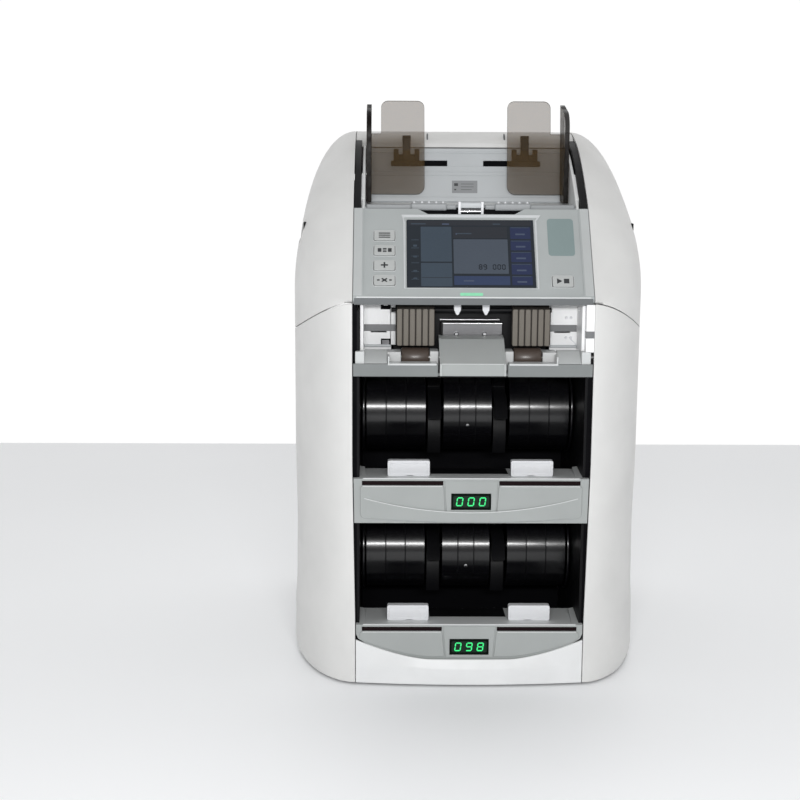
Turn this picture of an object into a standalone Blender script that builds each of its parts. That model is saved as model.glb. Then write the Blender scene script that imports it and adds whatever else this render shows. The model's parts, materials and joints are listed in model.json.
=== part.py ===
"""Two-pocket banknote counter and sorter, modelled as separate pieces with real clearances.

All sizes in this file are millimetres and the helpers scale them to metres. +Z is up, the front faces -Y, and the
origin is on the surface that the machine stands on, below the middle of its bounding box.
"""

import math

import bmesh
import bpy
from mathutils import Matrix, Vector

MM = 0.001
GAP = 0.3  # between pieces that touch

# Overall form.
FRONT = -162.5  # plane of the tray fronts
ARC_FLAT = 34.0  # half width of the flat middle of the base cover's arched top edge
BULGE = 6.0  # how far the base cover stands in front of that plane
REAR = 157.0  # outer face of the rear covers
OPENING = 101.0  # half width of the front opening at its foot, inside the side shells
UPPER_OPENING = 103.4  # and above FLARE_Z, where it has widened
FLARE_Z = (60.0, 200.0)
HALF_WIDTH = 158.0  # widest half width of the side shells
REAR_HALF_WIDTH = 145.0
SWEEP = 105.0  # depth over which the shells sweep out to full width
SWEEP_POWER = 1.8
CREST_Z = 484.0
GRIP_Y, GRIP_Z = (-70.0, 5.0), (384.0, 402.0)  # finger slot in each upper shell
SHELL = 3.0
SHELL_BOTTOM_Z = 2.0
WALL_PROFILE = (  # how far the lower shell's wall stands out of the plan line at each height
    (SHELL_BOTTOM_Z, -2.5),
    (6.0, 0.0),
    (12.0, 1.4),
    (45.0, 1.0),
    (80.0, -0.6),
    (130.0, -1.2),
    (200.0, 0.0),
    (260.0, 0.0),
)

# Seam between the lower and the upper unit, and the hinge at its rear end.
SEAM_FRONT_Z = 341.0
SEAM_REAR_Z = 300.0
SEAM_POWER = 4.8
SEAM_GAP = 0.8
PIVOT_Y, PIVOT_Z = 164.0, 298.0

# Control panel: a plane leaning back from its lower edge.
PANEL_Z = 341.4
PANEL_LENGTH = 97.0
PANEL_LEAN = math.radians(38.0)
PANEL_HALF = UPPER_OPENING - 0.5
PANEL_THICK = 9.0
PANEL_TOP_Y = FRONT + PANEL_LENGTH * math.sin(PANEL_LEAN)
PANEL_TOP_Z = PANEL_Z + PANEL_LENGTH * math.cos(PANEL_LEAN)
SCREEN_X, SCREEN_UP = (-56.8, 53.8), (16.0, 85.4)
KEYS = (  # name, middle across and up the panel, width and height
    ("menu", -77.0, 68.3, 19.0, 10.0),
    ("mode", -77.0, 52.9, 19.0, 10.0),
    ("add", -77.0, 37.6, 19.0, 10.0),
    ("clear", -77.0, 22.4, 19.0, 10.0),
    ("start", 75.0, 22.0, 19.0, 11.0),
)

# Inner side frames.
FRAME_IN, FRAME_OUT = 97.3, 100.3
INSIDE = FRAME_IN - 0.4

# Stacker pockets: the same tray, drum and wheels twice, one pitch apart.
POCKET_PITCH = 132.5
TRAY_TOP_Z = 186.5
DRUM_Y, DRUM_Z = -57.0, 231.0
DRUM_R, DRUM_WALL = 38.0, 2.5
DRUM_BACK_Y = -9.0
WHEEL_R, WHEEL_HUB_R, WHEEL_WIDTH = 43.5, 20.0, 12.0
WHEEL_X = 30.0
FIN_OUTLINE = (  # share of one fin's pitch and radius
    (0.0, WHEEL_HUB_R),
    (0.35, 27.0),
    (0.7, 36.0),
    (1.0, WHEEL_R),
    (0.80, 31.0),
    (0.66, 21.5),
)
SHAFT_R = 4.0
PULLEY_X = (103.0, 110.0)
PULLEY_R = 14.0
STOP_X, STOP_WIDTH, STOP_DEPTH, STOP_TRAVEL = 53.0, 37.0, 7.0, 14.0
STOP_Y = FRONT + 17.0

# Reject pocket.
LEDGE_Z = (278.0, 289.0)
ROLLER_Y, ROLLER_Z, ROLLER_R = FRONT + 31.0, 290.3, 8.5
ROLLER_X = (37.0, 61.0)
FLAP_Y, FLAP_Z, FLAP_ROD_R = FRONT + 34.0, 331.5, 2.0
FLAP_X = (33.5, 67.0)
GATE_Y, GATE_Z, GATE_ROD_R = -66.0, 305.0, 2.5

# Drive.
MOTOR_Y, MOTOR_Z, MOTOR_R = 55.0, 150.0, 22.0
MOTOR_PULLEY_R = 9.0
BELT = 1.5

# Hopper.
HOPPER_HALF = 93.0
BED_BACK_Y, BED_BACK_Z = FRONT + 154.0, 418.5
BED_SLOPE = 0.0
BACK_LEAN = math.radians(12.4)
FEED_Y, FEED_Z, FEED_R = FRONT + 85.0, 407.5, 12.0
GUIDE_X = 91.5  # middle of a guide's side plate
GUIDE_PLATE, GUIDE_RIB = 2.5, 4.6  # thickness of its back sheet and of its side plate
GUIDE_SLOT_Z = 454.6
PINION_R = 6.0

# Rear: access door, mains inlet and power switch.
DOOR_X, DOOR_Z = (-72.0, 72.0), (66.0, 268.0)
DOOR_AXIS_X, DOOR_AXIS_Y = -76.0, 160.3
DOOR_KNUCKLE_R, DOOR_PIN_R = 2.8, 1.2
SWITCH_X, SWITCH_Z = 92.0, 31.0

COLOURS = {
    "shell_white": (0.80, 0.80, 0.78, 0.45, 0.0),
    "panel_grey": (0.42, 0.45, 0.45, 0.50, 0.0),
    "gloss_black": (0.012, 0.012, 0.014, 0.12, 0.0),
    "frame_black": (0.03, 0.03, 0.035, 0.45, 0.0),
    "pad_white": (0.86, 0.87, 0.88, 0.40, 0.0),
    "rubber_brown": (0.07, 0.05, 0.045, 0.75, 0.0),
    "rubber_black": (0.02, 0.02, 0.02, 0.85, 0.0),
    "smoke": (0.16, 0.13, 0.10, 0.12, 0.0),
    "steel": (0.62, 0.62, 0.63, 0.28, 1.0),
    "screen_glass": (0.05, 0.06, 0.08, 0.08, 0.0),
}


# ---------------------------------------------------------------------------------------------- helpers


def clear_scene():
    for old in list(bpy.data.objects):
        bpy.data.objects.remove(old, do_unlink=True)


def new_collection(name, hidden=False):
    made = bpy.data.collections.new(name)
    made.hide_render = hidden
    bpy.context.scene.collection.children.link(made)
    return made


def material(slot):
    if slot in bpy.data.materials:
        return bpy.data.materials[slot]
    red, green, blue, roughness, metallic = COLOURS[slot]
    made = bpy.data.materials.new(slot)
    made.use_nodes = True
    shader = made.node_tree.nodes["Principled BSDF"]
    shader.inputs["Base Color"].default_value = (red, green, blue, 1.0)
    shader.inputs["Roughness"].default_value = roughness
    shader.inputs["Metallic"].default_value = metallic
    return made


def to_object(mesh_data, name, slot, collection):
    """A new object from a bmesh in millimetres, with its faces pointing out."""
    bmesh.ops.recalc_face_normals(mesh_data, faces=mesh_data.faces)
    if mesh_data.calc_volume(signed=True) < 0:
        bmesh.ops.reverse_faces(mesh_data, faces=mesh_data.faces)
    bmesh.ops.scale(mesh_data, vec=(MM, MM, MM), verts=mesh_data.verts)
    mesh = bpy.data.meshes.new(name)
    mesh_data.to_mesh(mesh)
    mesh_data.free()
    mesh.materials.append(material(slot))
    mesh.shade_smooth()
    mesh.set_sharp_from_angle(angle=math.radians(35))
    made = bpy.data.objects.new(name, mesh)
    collection.objects.link(made)
    if collection is CUTTERS:
        made.display_type = "WIRE"
        made.hide_render = True
    return made


def box_mesh(x, y, z):
    """A bmesh box between pairs of limits."""
    made = bmesh.new()
    bmesh.ops.create_cube(made, size=1.0)
    sizes = (x[1] - x[0], y[1] - y[0], z[1] - z[0])
    middle = Vector(((x[0] + x[1]) / 2, (y[0] + y[1]) / 2, (z[0] + z[1]) / 2))
    bmesh.ops.scale(made, vec=sizes, verts=made.verts)
    bmesh.ops.translate(made, vec=middle, verts=made.verts)
    return made


def box(name, x, y, z, slot="frame_black", collection=None):
    return to_object(box_mesh(x, y, z), name, slot, collection or PARTS)


def rod_mesh(x, y, z, radius, sides=24):
    """A bmesh cylinder along X between two x limits, with a corner pointing along +Y."""
    made = bmesh.new()
    bmesh.ops.create_cone(
        made, cap_ends=True, segments=sides, radius1=radius, radius2=radius, depth=x[1] - x[0]
    )
    turn = Matrix.Rotation(math.pi / 2, 4, "Y")
    bmesh.ops.transform(made, matrix=turn, verts=made.verts)
    bmesh.ops.translate(made, vec=((x[0] + x[1]) / 2, y, z), verts=made.verts)
    return made


def rod(name, x, y, z, radius, slot="steel", sides=24, collection=None):
    return to_object(rod_mesh(x, y, z, radius, sides), name, slot, collection or PARTS)


def flat(name, loops, low, high, plane="YZ", slot="frame_black", collection=None, placed=None):
    """A filled 2D curve from one or more closed loops, extruded between two limits and made a mesh.

    plane "YZ" extrudes along X, "XZ" along Y and "XY" along Z. placed moves the result afterwards.
    """
    curve = bpy.data.curves.new(name, "CURVE")
    curve.dimensions = "2D"
    curve.fill_mode = "BOTH"
    curve.extrude = (high - low) / 2
    for loop in loops:
        spline = curve.splines.new("POLY")
        spline.points.add(len(loop) - 1)
        for point, (first, second) in zip(spline.points, loop):
            point.co = (first, second, 0.0, 1.0)
        spline.use_cyclic_u = True
    guide = bpy.data.objects.new(name + "_outline", curve)
    bpy.context.scene.collection.objects.link(guide)
    graph = bpy.context.evaluated_depsgraph_get()
    mesh = bpy.data.meshes.new_from_object(guide.evaluated_get(graph))
    bpy.data.objects.remove(guide, do_unlink=True)
    made = bmesh.new()
    made.from_mesh(mesh)
    bpy.data.meshes.remove(mesh)
    bmesh.ops.remove_doubles(made, verts=made.verts, dist=0.0001)
    middle = (low + high) / 2
    for corner in made.verts:
        first, second, along = corner.co
        along += middle
        if plane == "YZ":
            corner.co = (along, first, second)
        elif plane == "XZ":
            corner.co = (first, along, second)
        else:
            corner.co = (first, second, along)
    if placed is not None:
        bmesh.ops.transform(made, matrix=placed, verts=made.verts)
    return to_object(made, name, slot, collection or PARTS)


def boolean(target, tool, operation):
    """Applies one Boolean to target and leaves the cutter out of the model."""
    step = target.modifiers.new(operation.lower(), "BOOLEAN")
    step.object = tool
    step.operation = operation
    step.solver = "EXACT"
    graph = bpy.context.evaluated_depsgraph_get()
    mesh = bpy.data.meshes.new_from_object(target.evaluated_get(graph))
    target.modifiers.remove(step)
    target.data = mesh
    if operation == "UNION":
        bpy.data.objects.remove(tool, do_unlink=True)


def cut(target, *tools):
    for tool in tools:
        boolean(target, tool, "DIFFERENCE")


def join(target, *tools):
    for tool in tools:
        boolean(target, tool, "UNION")


def cut_box(target, x, y, z):
    cut(target, box(target.name + "_cut", x, y, z, collection=CUTTERS))


def cut_hole(target, x, y, z, radius, sides=24):
    cut(target, rod(target.name + "_hole", x, y, z, radius, sides=sides, collection=CUTTERS))


def set_origin(obj, x, y, z):
    """Moves an object's origin onto its joint axis and leaves its shape where it is."""
    point = Vector((x, y, z)) * MM
    obj.data.transform(Matrix.Translation(-point))
    obj.location = point


def circle(y, z, radius, sides, start=0.0, turn=2 * math.pi):
    steps = range(sides if turn == 2 * math.pi else sides + 1)
    return [
        (y + radius * math.cos(start + turn * i / sides), z + radius * math.sin(start + turn * i / sides))
        for i in steps
    ]


def mirrored(points):
    return [(-x, y) for x, y in points]


# ---------------------------------------------------------------------------------------------- form


def plan_stations(first_angle=0.0):
    """(y, half width) pairs from the front edge of a side shell to its rear edge."""
    stations = []
    steps = 8
    for i in range(steps + 1):
        angle = first_angle + (math.pi / 2 - first_angle) * i / steps
        back = 1 - math.cos(angle) ** (2 / SWEEP_POWER)
        out = math.sin(angle) ** (2 / SWEEP_POWER)
        stations.append((FRONT + SWEEP * back, OPENING + (HALF_WIDTH - OPENING) * out))
    for y in (0.0, 60.0, 95.0, 125.0, 145.0, REAR):
        taper = max(0.0, (y - 60.0) / (REAR - 60.0))
        stations.append((y, HALF_WIDTH - (HALF_WIDTH - REAR_HALF_WIDTH) * taper**2))
    return stations


def seam_z(y):
    share = max(0.0, (REAR - y) / (REAR - FRONT))
    return SEAM_REAR_Z + (SEAM_FRONT_Z - SEAM_REAR_Z) * share**SEAM_POWER


def top_z(y):
    """Height of the upper shells' inner edge: up the panel, over the crest and down at the rear."""
    if y <= PANEL_TOP_Y:
        return PANEL_Z + (y - FRONT) / math.tan(PANEL_LEAN)
    rise_end, fall_start, fall = 50.0, 95.0, 62.0
    if y <= rise_end:
        share = (y - PANEL_TOP_Y) / (rise_end - PANEL_TOP_Y)
        return CREST_Z - (CREST_Z - PANEL_TOP_Z) * (1 - share) ** 2
    over = max(0.0, (y - fall_start) / (REAR - fall_start))
    return CREST_Z - fall * (1 - math.sqrt(1 - 0.9 * over**2))


def side_offset(z):
    """How far the lower shell's wall stands in or out of the plan line at a height."""
    for (low, before), (high, after) in zip(WALL_PROFILE, WALL_PROFILE[1:]):
        if z <= high:
            return before + (after - before) * (z - low) / (high - low)
    return 0.0


def opening_at(z):
    """Half width of the front opening at a height."""
    share = min(1.0, max(0.0, (z - FLARE_Z[0]) / (FLARE_Z[1] - FLARE_Z[0])))
    return OPENING + (UPPER_OPENING - OPENING) * share


def grid_shell(name, rows, slot, thickness=SHELL, clear_of_opening=True):
    """A solidified skin through rows of points, its thickness growing to the inside."""
    made = bmesh.new()
    grid = [[made.verts.new(point) for point in row] for row in rows]
    for low, high in zip(grid, grid[1:]):
        for i in range(len(low) - 1):
            made.faces.new((low[i], low[i + 1], high[i + 1], high[i]))
    bmesh.ops.scale(made, vec=(MM, MM, MM), verts=made.verts)
    mesh = bpy.data.meshes.new(name)
    made.to_mesh(mesh)
    made.free()
    mesh.materials.append(material(slot))
    obj = bpy.data.objects.new(name, mesh)
    PARTS.objects.link(obj)
    skin = obj.modifiers.new("wall", "SOLIDIFY")
    skin.thickness = thickness * MM
    skin.offset = -1.0
    skin.use_even_offset = True
    graph = bpy.context.evaluated_depsgraph_get()
    obj.data = bpy.data.meshes.new_from_object(obj.evaluated_get(graph))
    obj.modifiers.remove(skin)
    if clear_of_opening:
        for corner in obj.data.vertices:
            edge = opening_at(corner.co.z / MM) * MM
            corner.co.x = math.copysign(max(abs(corner.co.x), edge), corner.co.x)
    obj.data.shade_smooth()
    obj.data.set_sharp_from_angle(angle=math.radians(35))
    return obj


def side_rows(rows, side):
    """Mirrors rows of right-hand points and keeps the skin's outside facing out."""
    if side > 0:
        return rows
    return [[(-x, y, z) for x, y, z in reversed(row)] for row in rows]


# ---------------------------------------------------------------------------------------------- lower unit


def build_lower_shells():
    heights = [height for height, offset in WALL_PROFILE]
    for side, label in ((-1, "left"), (1, "right")):
        rows = []
        for height in heights + [None]:
            row = []
            for y, half in plan_stations():
                z = seam_z(y) - SEAM_GAP / 2 if height is None else height
                share = (half - OPENING) / (HALF_WIDTH - OPENING)
                flare = (opening_at(z) - OPENING) * (1 - share)
                row.append((half + flare + side_offset(z) * share, y, z))
            rows.append(row)
        grid_shell("lower_shell_" + label, side_rows(rows, side), "shell_white")


def build_base():
    inset = 8.0
    right = [(half - inset, y) for y, half in plan_stations()][1:]
    right = [(x, y) for x, y in right if FRONT + inset < y < REAR - inset]
    right = [(right[0][0], FRONT + inset)] + right + [(right[-1][0], REAR - inset)]
    flat("base_plate", [right + mirrored(right)[::-1]], 4.0, 7.0, "XY", "steel")
    for label, x, y in (
        ("front_left", -105, -105),
        ("front_right", 105, -105),
        ("rear_left", -115, 120),
        ("rear_right", 115, 120),
    ):
        flat("foot_" + label, [circle(x, y, 9.0, 16)], 0.0, 4.0 - GAP, "XY", "rubber_black")


def base_cover_top(x):
    """Upper edge of the front base cover: low and flat in the middle, rising to the corners."""
    share = max(0.0, (abs(x) - ARC_FLAT) / (OPENING - ARC_FLAT))
    return 24.5 + 17.5 * share**1.6


def build_front_cover():
    columns = 12
    half = OPENING - 0.5
    rows = []
    for level in (0.0, 0.25, 0.6, 1.0):
        row = []
        for i in range(columns + 1):
            x = -half + 2 * half * i / columns
            z = SHELL_BOTTOM_Z + (base_cover_top(x) - SHELL_BOTTOM_Z) * level
            forward = BULGE * (1 - (x / half) ** 2) * (1.0, 1.0, 0.85, 0.35)[round(level * 3)]
            row.append((x, FRONT - forward, z))
        rows.append(row)
    grid_shell("front_base_cover", rows, "shell_white", 2.5, clear_of_opening=False)


def build_side_frames():
    for side, label in ((-1, "left"), (1, "right")):
        x = sorted((side * FRAME_IN, side * FRAME_OUT))
        outline = [
            (FRONT + 6, 9),
            (150, 9),
            (150, 290),
            (60, 334),
            (FRONT + 6, 334),
        ]
        frame = flat("side_frame_" + label, [outline], x[0], x[1], "YZ", "frame_black")
        through = (x[0] - 1, x[1] + 1)
        for y, z, radius in (
            (DRUM_Y, DRUM_Z, SHAFT_R),
            (DRUM_Y, DRUM_Z - POCKET_PITCH, SHAFT_R),
            (ROLLER_Y, ROLLER_Z, 3.0),
            (FLAP_Y, FLAP_Z, FLAP_ROD_R),
            (GATE_Y, GATE_Z, GATE_ROD_R),
        ):
            cut_hole(frame, through, y, z, radius + 0.4)
        if side > 0:
            cut_hole(frame, through, MOTOR_Y, MOTOR_Z, 3.0 + 0.4)


def build_tray(label, drop, front_outline, foot_z):
    """A stacker tray: its front plate and the deck behind it in one moulding, and its digit display."""
    top = TRAY_TOP_Z - drop
    tray = flat("tray_" + label, [front_outline], FRONT, FRONT + 3.5, "XZ", "panel_grey")
    deck_end, roof_end = FRONT + 64.0, FRONT + 108.0
    profile = [
        (FRONT + 3.0, foot_z),
        (FRONT + 6.0, foot_z),
        (FRONT + 6.0, top - 3.2),
        (deck_end, top - 9.5),
        (deck_end, top - 7.0),
        (FRONT + 3.0, top - 0.5),
    ]
    if label == "upper":
        profile[1:2] = [(roof_end, foot_z), (roof_end, foot_z + 2.5), (FRONT + 6.0, foot_z + 2.5)]
    join(tray, flat("deck", [profile], -INSIDE, INSIDE, "YZ", "panel_grey", CUTTERS))
    window = (top - 26.2, top - 11.4)
    cut_box(tray, (-17.4, 17.4), (FRONT - 1, FRONT + 3.3), window)
    for side in (-1, 1):
        slit = sorted((side * 25.0, side * 90.0))
        cut_box(tray, slit, (FRONT - 1, FRONT + 2.5), (top - 5.6, top - 2.4))
        middle = side * STOP_X
        slot_y = (STOP_Y - 0.5, STOP_Y + STOP_DEPTH + STOP_TRAVEL + 0.5)
        cut_box(tray, (middle - 3.7, middle + 3.7), slot_y, (top - 20, top + 5))
    display_z = (window[0] + GAP, window[1] - GAP)
    box("display_" + label, (-17.1, 17.1), (FRONT + 0.6, FRONT + 3.0), display_z, "gloss_black")


def build_trays():
    foot, edge = opening_at(148.2) - 0.7, opening_at(TRAY_TOP_Z) - 0.7
    upper = [(-foot, 148.2), (foot, 148.2), (edge, TRAY_TOP_Z), (-edge, TRAY_TOP_Z)]
    build_tray("upper", 0.0, upper, 148.2)
    half = FRAME_OUT
    steps = 5
    lower_top = TRAY_TOP_Z - POCKET_PITCH
    right = [ARC_FLAT + (half - ARC_FLAT) * i / steps for i in range(steps + 1)]
    arc = [-x for x in reversed(right)] + right
    lower = [(x, base_cover_top(x) + 0.8) for x in arc] + [(half, lower_top), (-half, lower_top)]
    build_tray("lower", POCKET_PITCH, lower, 28.0)


def build_note_stops():
    for label, drop in (("upper", 0.0), ("lower", POCKET_PITCH)):
        for side, hand in ((-1, "left"), (1, "right")):
            foot, head = TRAY_TOP_Z - drop + 0.1, TRAY_TOP_Z - drop + 14.0
            half, stem = STOP_WIDTH / 2, 3.0
            outline = [
                (-stem, foot - 9),
                (stem, foot - 9),
                (stem, foot),
                (half, foot),
                (half, head - 3),
                (half - 3, head),
                (3 - half, head),
                (-half, head - 3),
                (-half, foot),
                (-stem, foot),
            ]
            outline = [(x + side * STOP_X, z) for x, z in outline]
            limits = (STOP_Y, STOP_Y + STOP_DEPTH)
            stop = flat(f"note_stop_{label}_{hand}", [outline], *limits, "XZ", "pad_white")
            set_origin(stop, side * STOP_X, STOP_Y + STOP_DEPTH / 2, foot)


def drum_loop(radius, back_y):
    """Half circle facing the front with straight legs to the back."""
    arc = circle(DRUM_Y, 0.0, radius, 14, math.pi / 2, math.pi)
    return [(back_y, radius)] + arc + [(back_y, -radius)]


def build_drum_covers():
    for label, drop in (("upper", 0.0), ("lower", POCKET_PITCH)):
        centre_z = DRUM_Z - drop
        outer = [(y, z + centre_z) for y, z in drum_loop(DRUM_R, DRUM_BACK_Y)]
        inner = drum_loop(DRUM_R - DRUM_WALL, DRUM_BACK_Y - DRUM_WALL)
        inner = [(y, z + centre_z) for y, z in inner]
        cover = flat("drum_cover_" + label, [outer, inner], -92, 92, "YZ", "gloss_black")
        for side in (-1, 1):
            window = sorted((side * (WHEEL_X - 8), side * (WHEEL_X + 8)))
            window_z = (centre_z - 60, centre_z + 60)
            cut_box(cover, window, (-120, DRUM_BACK_Y - DRUM_WALL), window_z)


def wheel_outline(y, z):
    """Hub with curved fins: each fin rises along the rim and ends in a tip that trails the turn."""
    fins, points = 6, []
    for i in range(fins):
        start = 2 * math.pi * i / fins
        for share, radius in FIN_OUTLINE:
            angle = start + share * 2 * math.pi / fins * 1.05
            points.append((y + radius * math.cos(angle), z + radius * math.sin(angle)))
    return points


def build_stacker_shafts():
    for label, drop in (("upper", 0.0), ("lower", POCKET_PITCH)):
        y, z = DRUM_Y, DRUM_Z - drop
        shaft = rod("stacker_shaft_" + label, (-102, 112), y, z, SHAFT_R, "frame_black", 16)
        for side in (-1, 1):
            limits = (side * WHEEL_X - WHEEL_WIDTH / 2, side * WHEEL_X + WHEEL_WIDTH / 2)
            join(shaft, flat("wheel", [wheel_outline(y, z)], *limits, "YZ", "frame_black", CUTTERS))
        join(shaft, rod("pulley", PULLEY_X, y, z, PULLEY_R, "frame_black", 24, CUTTERS))
        set_origin(shaft, 0, y, z)


def hull(points):
    """Convex outline of a set of 2D points, by the monotone chain."""
    ordered = sorted(set(points))
    chains = []
    for sequence in (ordered, ordered[::-1]):
        chain = []
        for point in sequence:
            while len(chain) > 1:
                (ay, az), (by, bz) = chain[-2], chain[-1]
                if (by - ay) * (point[1] - az) - (bz - az) * (point[0] - ay) > 0:
                    break
                chain.pop()
            chain.append(point)
        chains.append(chain[:-1])
    return chains[0] + chains[1]


def belt(name, pulleys, x):
    loops = []
    for extra in (BELT, 0.0):
        points = []
        for y, z, radius in pulleys:
            points += circle(y, z, radius + 0.4 + extra, 24)
        loops.append(hull(points))
    return flat(name, loops, x[0], x[1], "YZ", "rubber_black")


def build_drive():
    motor = rod("drive_motor", (45, 92), MOTOR_Y, MOTOR_Z, MOTOR_R, "steel", 28)
    join(motor, rod("motor_cap", (40, 46), MOTOR_Y, MOTOR_Z, 9.0, "steel", 20, CUTTERS))
    pulley = rod("motor_pulley", (92.4, 111), MOTOR_Y, MOTOR_Z, 3.0, "steel", 16)
    join(pulley, rod("wheel", PULLEY_X, MOTOR_Y, MOTOR_Z, MOTOR_PULLEY_R, "steel", 24, CUTTERS))
    set_origin(pulley, 100, MOTOR_Y, MOTOR_Z)
    train = [
        (MOTOR_Y, MOTOR_Z, MOTOR_PULLEY_R),
        (DRUM_Y, DRUM_Z, PULLEY_R),
        (DRUM_Y, DRUM_Z - POCKET_PITCH, PULLEY_R),
    ]
    belt("drive_belt", train, (103.5, 109.5))
    box("power_supply", (-88, 5), (55, 140), (12, 58), "steel")
    box("rear_bulkhead", (-INSIDE, INSIDE), (-5, -2), (9, 333), "frame_black")


def build_diverter():
    gate = rod("diverter_gate", (-101.5, 101.5), GATE_Y, GATE_Z, GATE_ROD_R, "steel", 16)
    blade = [
        (GATE_Y + 3.0, GATE_Z - 2.0),
        (GATE_Y + 3.0, GATE_Z + 2.0),
        (GATE_Y - 10.0, GATE_Z + 5.0),
        (GATE_Y - 24.0, GATE_Z + 4.5),
        (GATE_Y - 10.0, GATE_Z + 1.0),
    ]
    join(gate, flat("blade", [blade], -84, 84, "YZ", "steel", CUTTERS))
    set_origin(gate, 0, GATE_Y, GATE_Z)


def build_reject_pocket():
    low, high = LEDGE_Z
    half = UPPER_OPENING - 0.7
    ledge = box("reject_ledge", (-half, half), (FRONT, FRONT + 5), (low, high), "panel_grey")
    cut_box(ledge, (-30, 30), (FRONT - 1, FRONT + 6), (low - 1, high + 1))
    floor = box("floor", (-INSIDE, INSIDE), (FRONT + 3.5, FRONT + 52), (low, low + 2.5), "panel_grey", CUTTERS)
    join(ledge, floor)
    for side in (-1, 1):
        for inner, outer in ((32.0, 36.5), (61.5, 66.5)):
            ear = sorted((side * inner, side * outer))
            join(ledge, box("ear", ear, (FRONT + 24, FRONT + 38), (low + 1, 297), "panel_grey", CUTTERS))
    cut_hole(ledge, (-75, 75), ROLLER_Y, ROLLER_Z, 3.4)

    cover = [
        (FRONT, low + 0.6),
        (FRONT, high),
        (FRONT + 30, 306.5),
        (FRONT + 42, 308.0),
        (FRONT + 42, 305.5),
        (FRONT + 31, 304.0),
        (FRONT + 3, high - 1.5),
        (FRONT + 3, low + 0.6),
    ]
    flat("reject_centre_cover", [cover], -28.5, 28.5, "YZ", "panel_grey")

    roller = rod("reject_roller", (-102, 110), ROLLER_Y, ROLLER_Z, 3.0, "steel", 16)
    for side in (-1, 1):
        limits = sorted((side * ROLLER_X[0], side * ROLLER_X[1]))
        join(roller, rod("tyre", limits, ROLLER_Y, ROLLER_Z, ROLLER_R, "rubber_brown", 24, CUTTERS))
    join(roller, rod("pulley", (103, 109), ROLLER_Y, ROLLER_Z, 6.0, "steel", 20, CUTTERS))
    set_origin(roller, 0, ROLLER_Y, ROLLER_Z)

    rod("flap_rod", (-99.5, 99.5), FLAP_Y, FLAP_Z, FLAP_ROD_R, "steel", 16)
    for side, label in ((-1, "left"), (1, "right")):
        build_flap(side, label)
        build_reject_wall(side, label)
    back = box("exit_guide", (-68, 68), (FRONT + 54, FRONT + 58), (283, 340), "frame_black")
    join(back, box("plate", (-26.5, 26.5), (FRONT + 46, FRONT + 55), (306.5, 318.5), "frame_black", CUTTERS))


def build_flap(side, label):
    """A ribbed flap that hangs from the flap rod over its roller."""
    ribs, proud = 6, 2.0
    inner, outer = FLAP_X
    pitch = (outer - inner) / ribs
    back, face = FRONT + 31.0, FRONT + 28.0
    outline = [(inner, back), (outer, back)]
    for i in reversed(range(ribs)):
        left = inner + i * pitch
        right = outer if i == ribs - 1 else left + pitch * 0.6
        if i < ribs - 1:
            outline.append((right, face))
        outline += [(right, face - proud), (left, face - proud)]
        if i:
            outline.append((left, face))
    if side < 0:
        outline = mirrored(outline)
    flap = flat("reject_flap_" + label, [outline], 300.5, 333.5, "XY", "smoke")
    limits = sorted((side * (inner + 0.5), side * (outer - 0.5)))
    join(flap, rod("knuckle", limits, FLAP_Y, FLAP_Z, 4.6, "smoke", 20, CUTTERS))
    cut_hole(flap, (limits[0] - 2, limits[1] + 2), FLAP_Y, FLAP_Z, FLAP_ROD_R + 0.4, 16)
    set_origin(flap, side * (inner + outer) / 2, FLAP_Y, FLAP_Z)


def build_reject_wall(side, label):
    """White inner wall of the reject pocket: a side leg and a leg that faces the front."""
    outline = [
        (INSIDE, FRONT + 12),
        (INSIDE, FRONT + 48),
        (70, FRONT + 48),
        (70, FRONT + 45),
        (94, FRONT + 45),
        (94, FRONT + 12),
    ]
    if side < 0:
        outline = mirrored(outline)
    wall = flat("reject_wall_" + label, [outline], 281, 339, "XY", "pad_white")
    limits = (side * 95.5 - 4, side * 95.5 + 4)
    cut_hole(wall, limits, ROLLER_Y, ROLLER_Z, 4.0)
    cut_hole(wall, limits, FLAP_Y, FLAP_Z, FLAP_ROD_R + 0.4)
    cut_box(wall, sorted((side * 74, side * 88)), (FRONT + 44, FRONT + 49), (310, 316))


# ---------------------------------------------------------------------------------------------- rear


def pin_mesh(x, y, z, radius, sides):
    """A bmesh cylinder along Z between two z limits."""
    made = bmesh.new()
    bmesh.ops.create_cone(
        made, cap_ends=True, segments=sides, radius1=radius, radius2=radius, depth=z[1] - z[0]
    )
    bmesh.ops.translate(made, vec=(x, y, (z[0] + z[1]) / 2), verts=made.verts)
    return made


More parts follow.
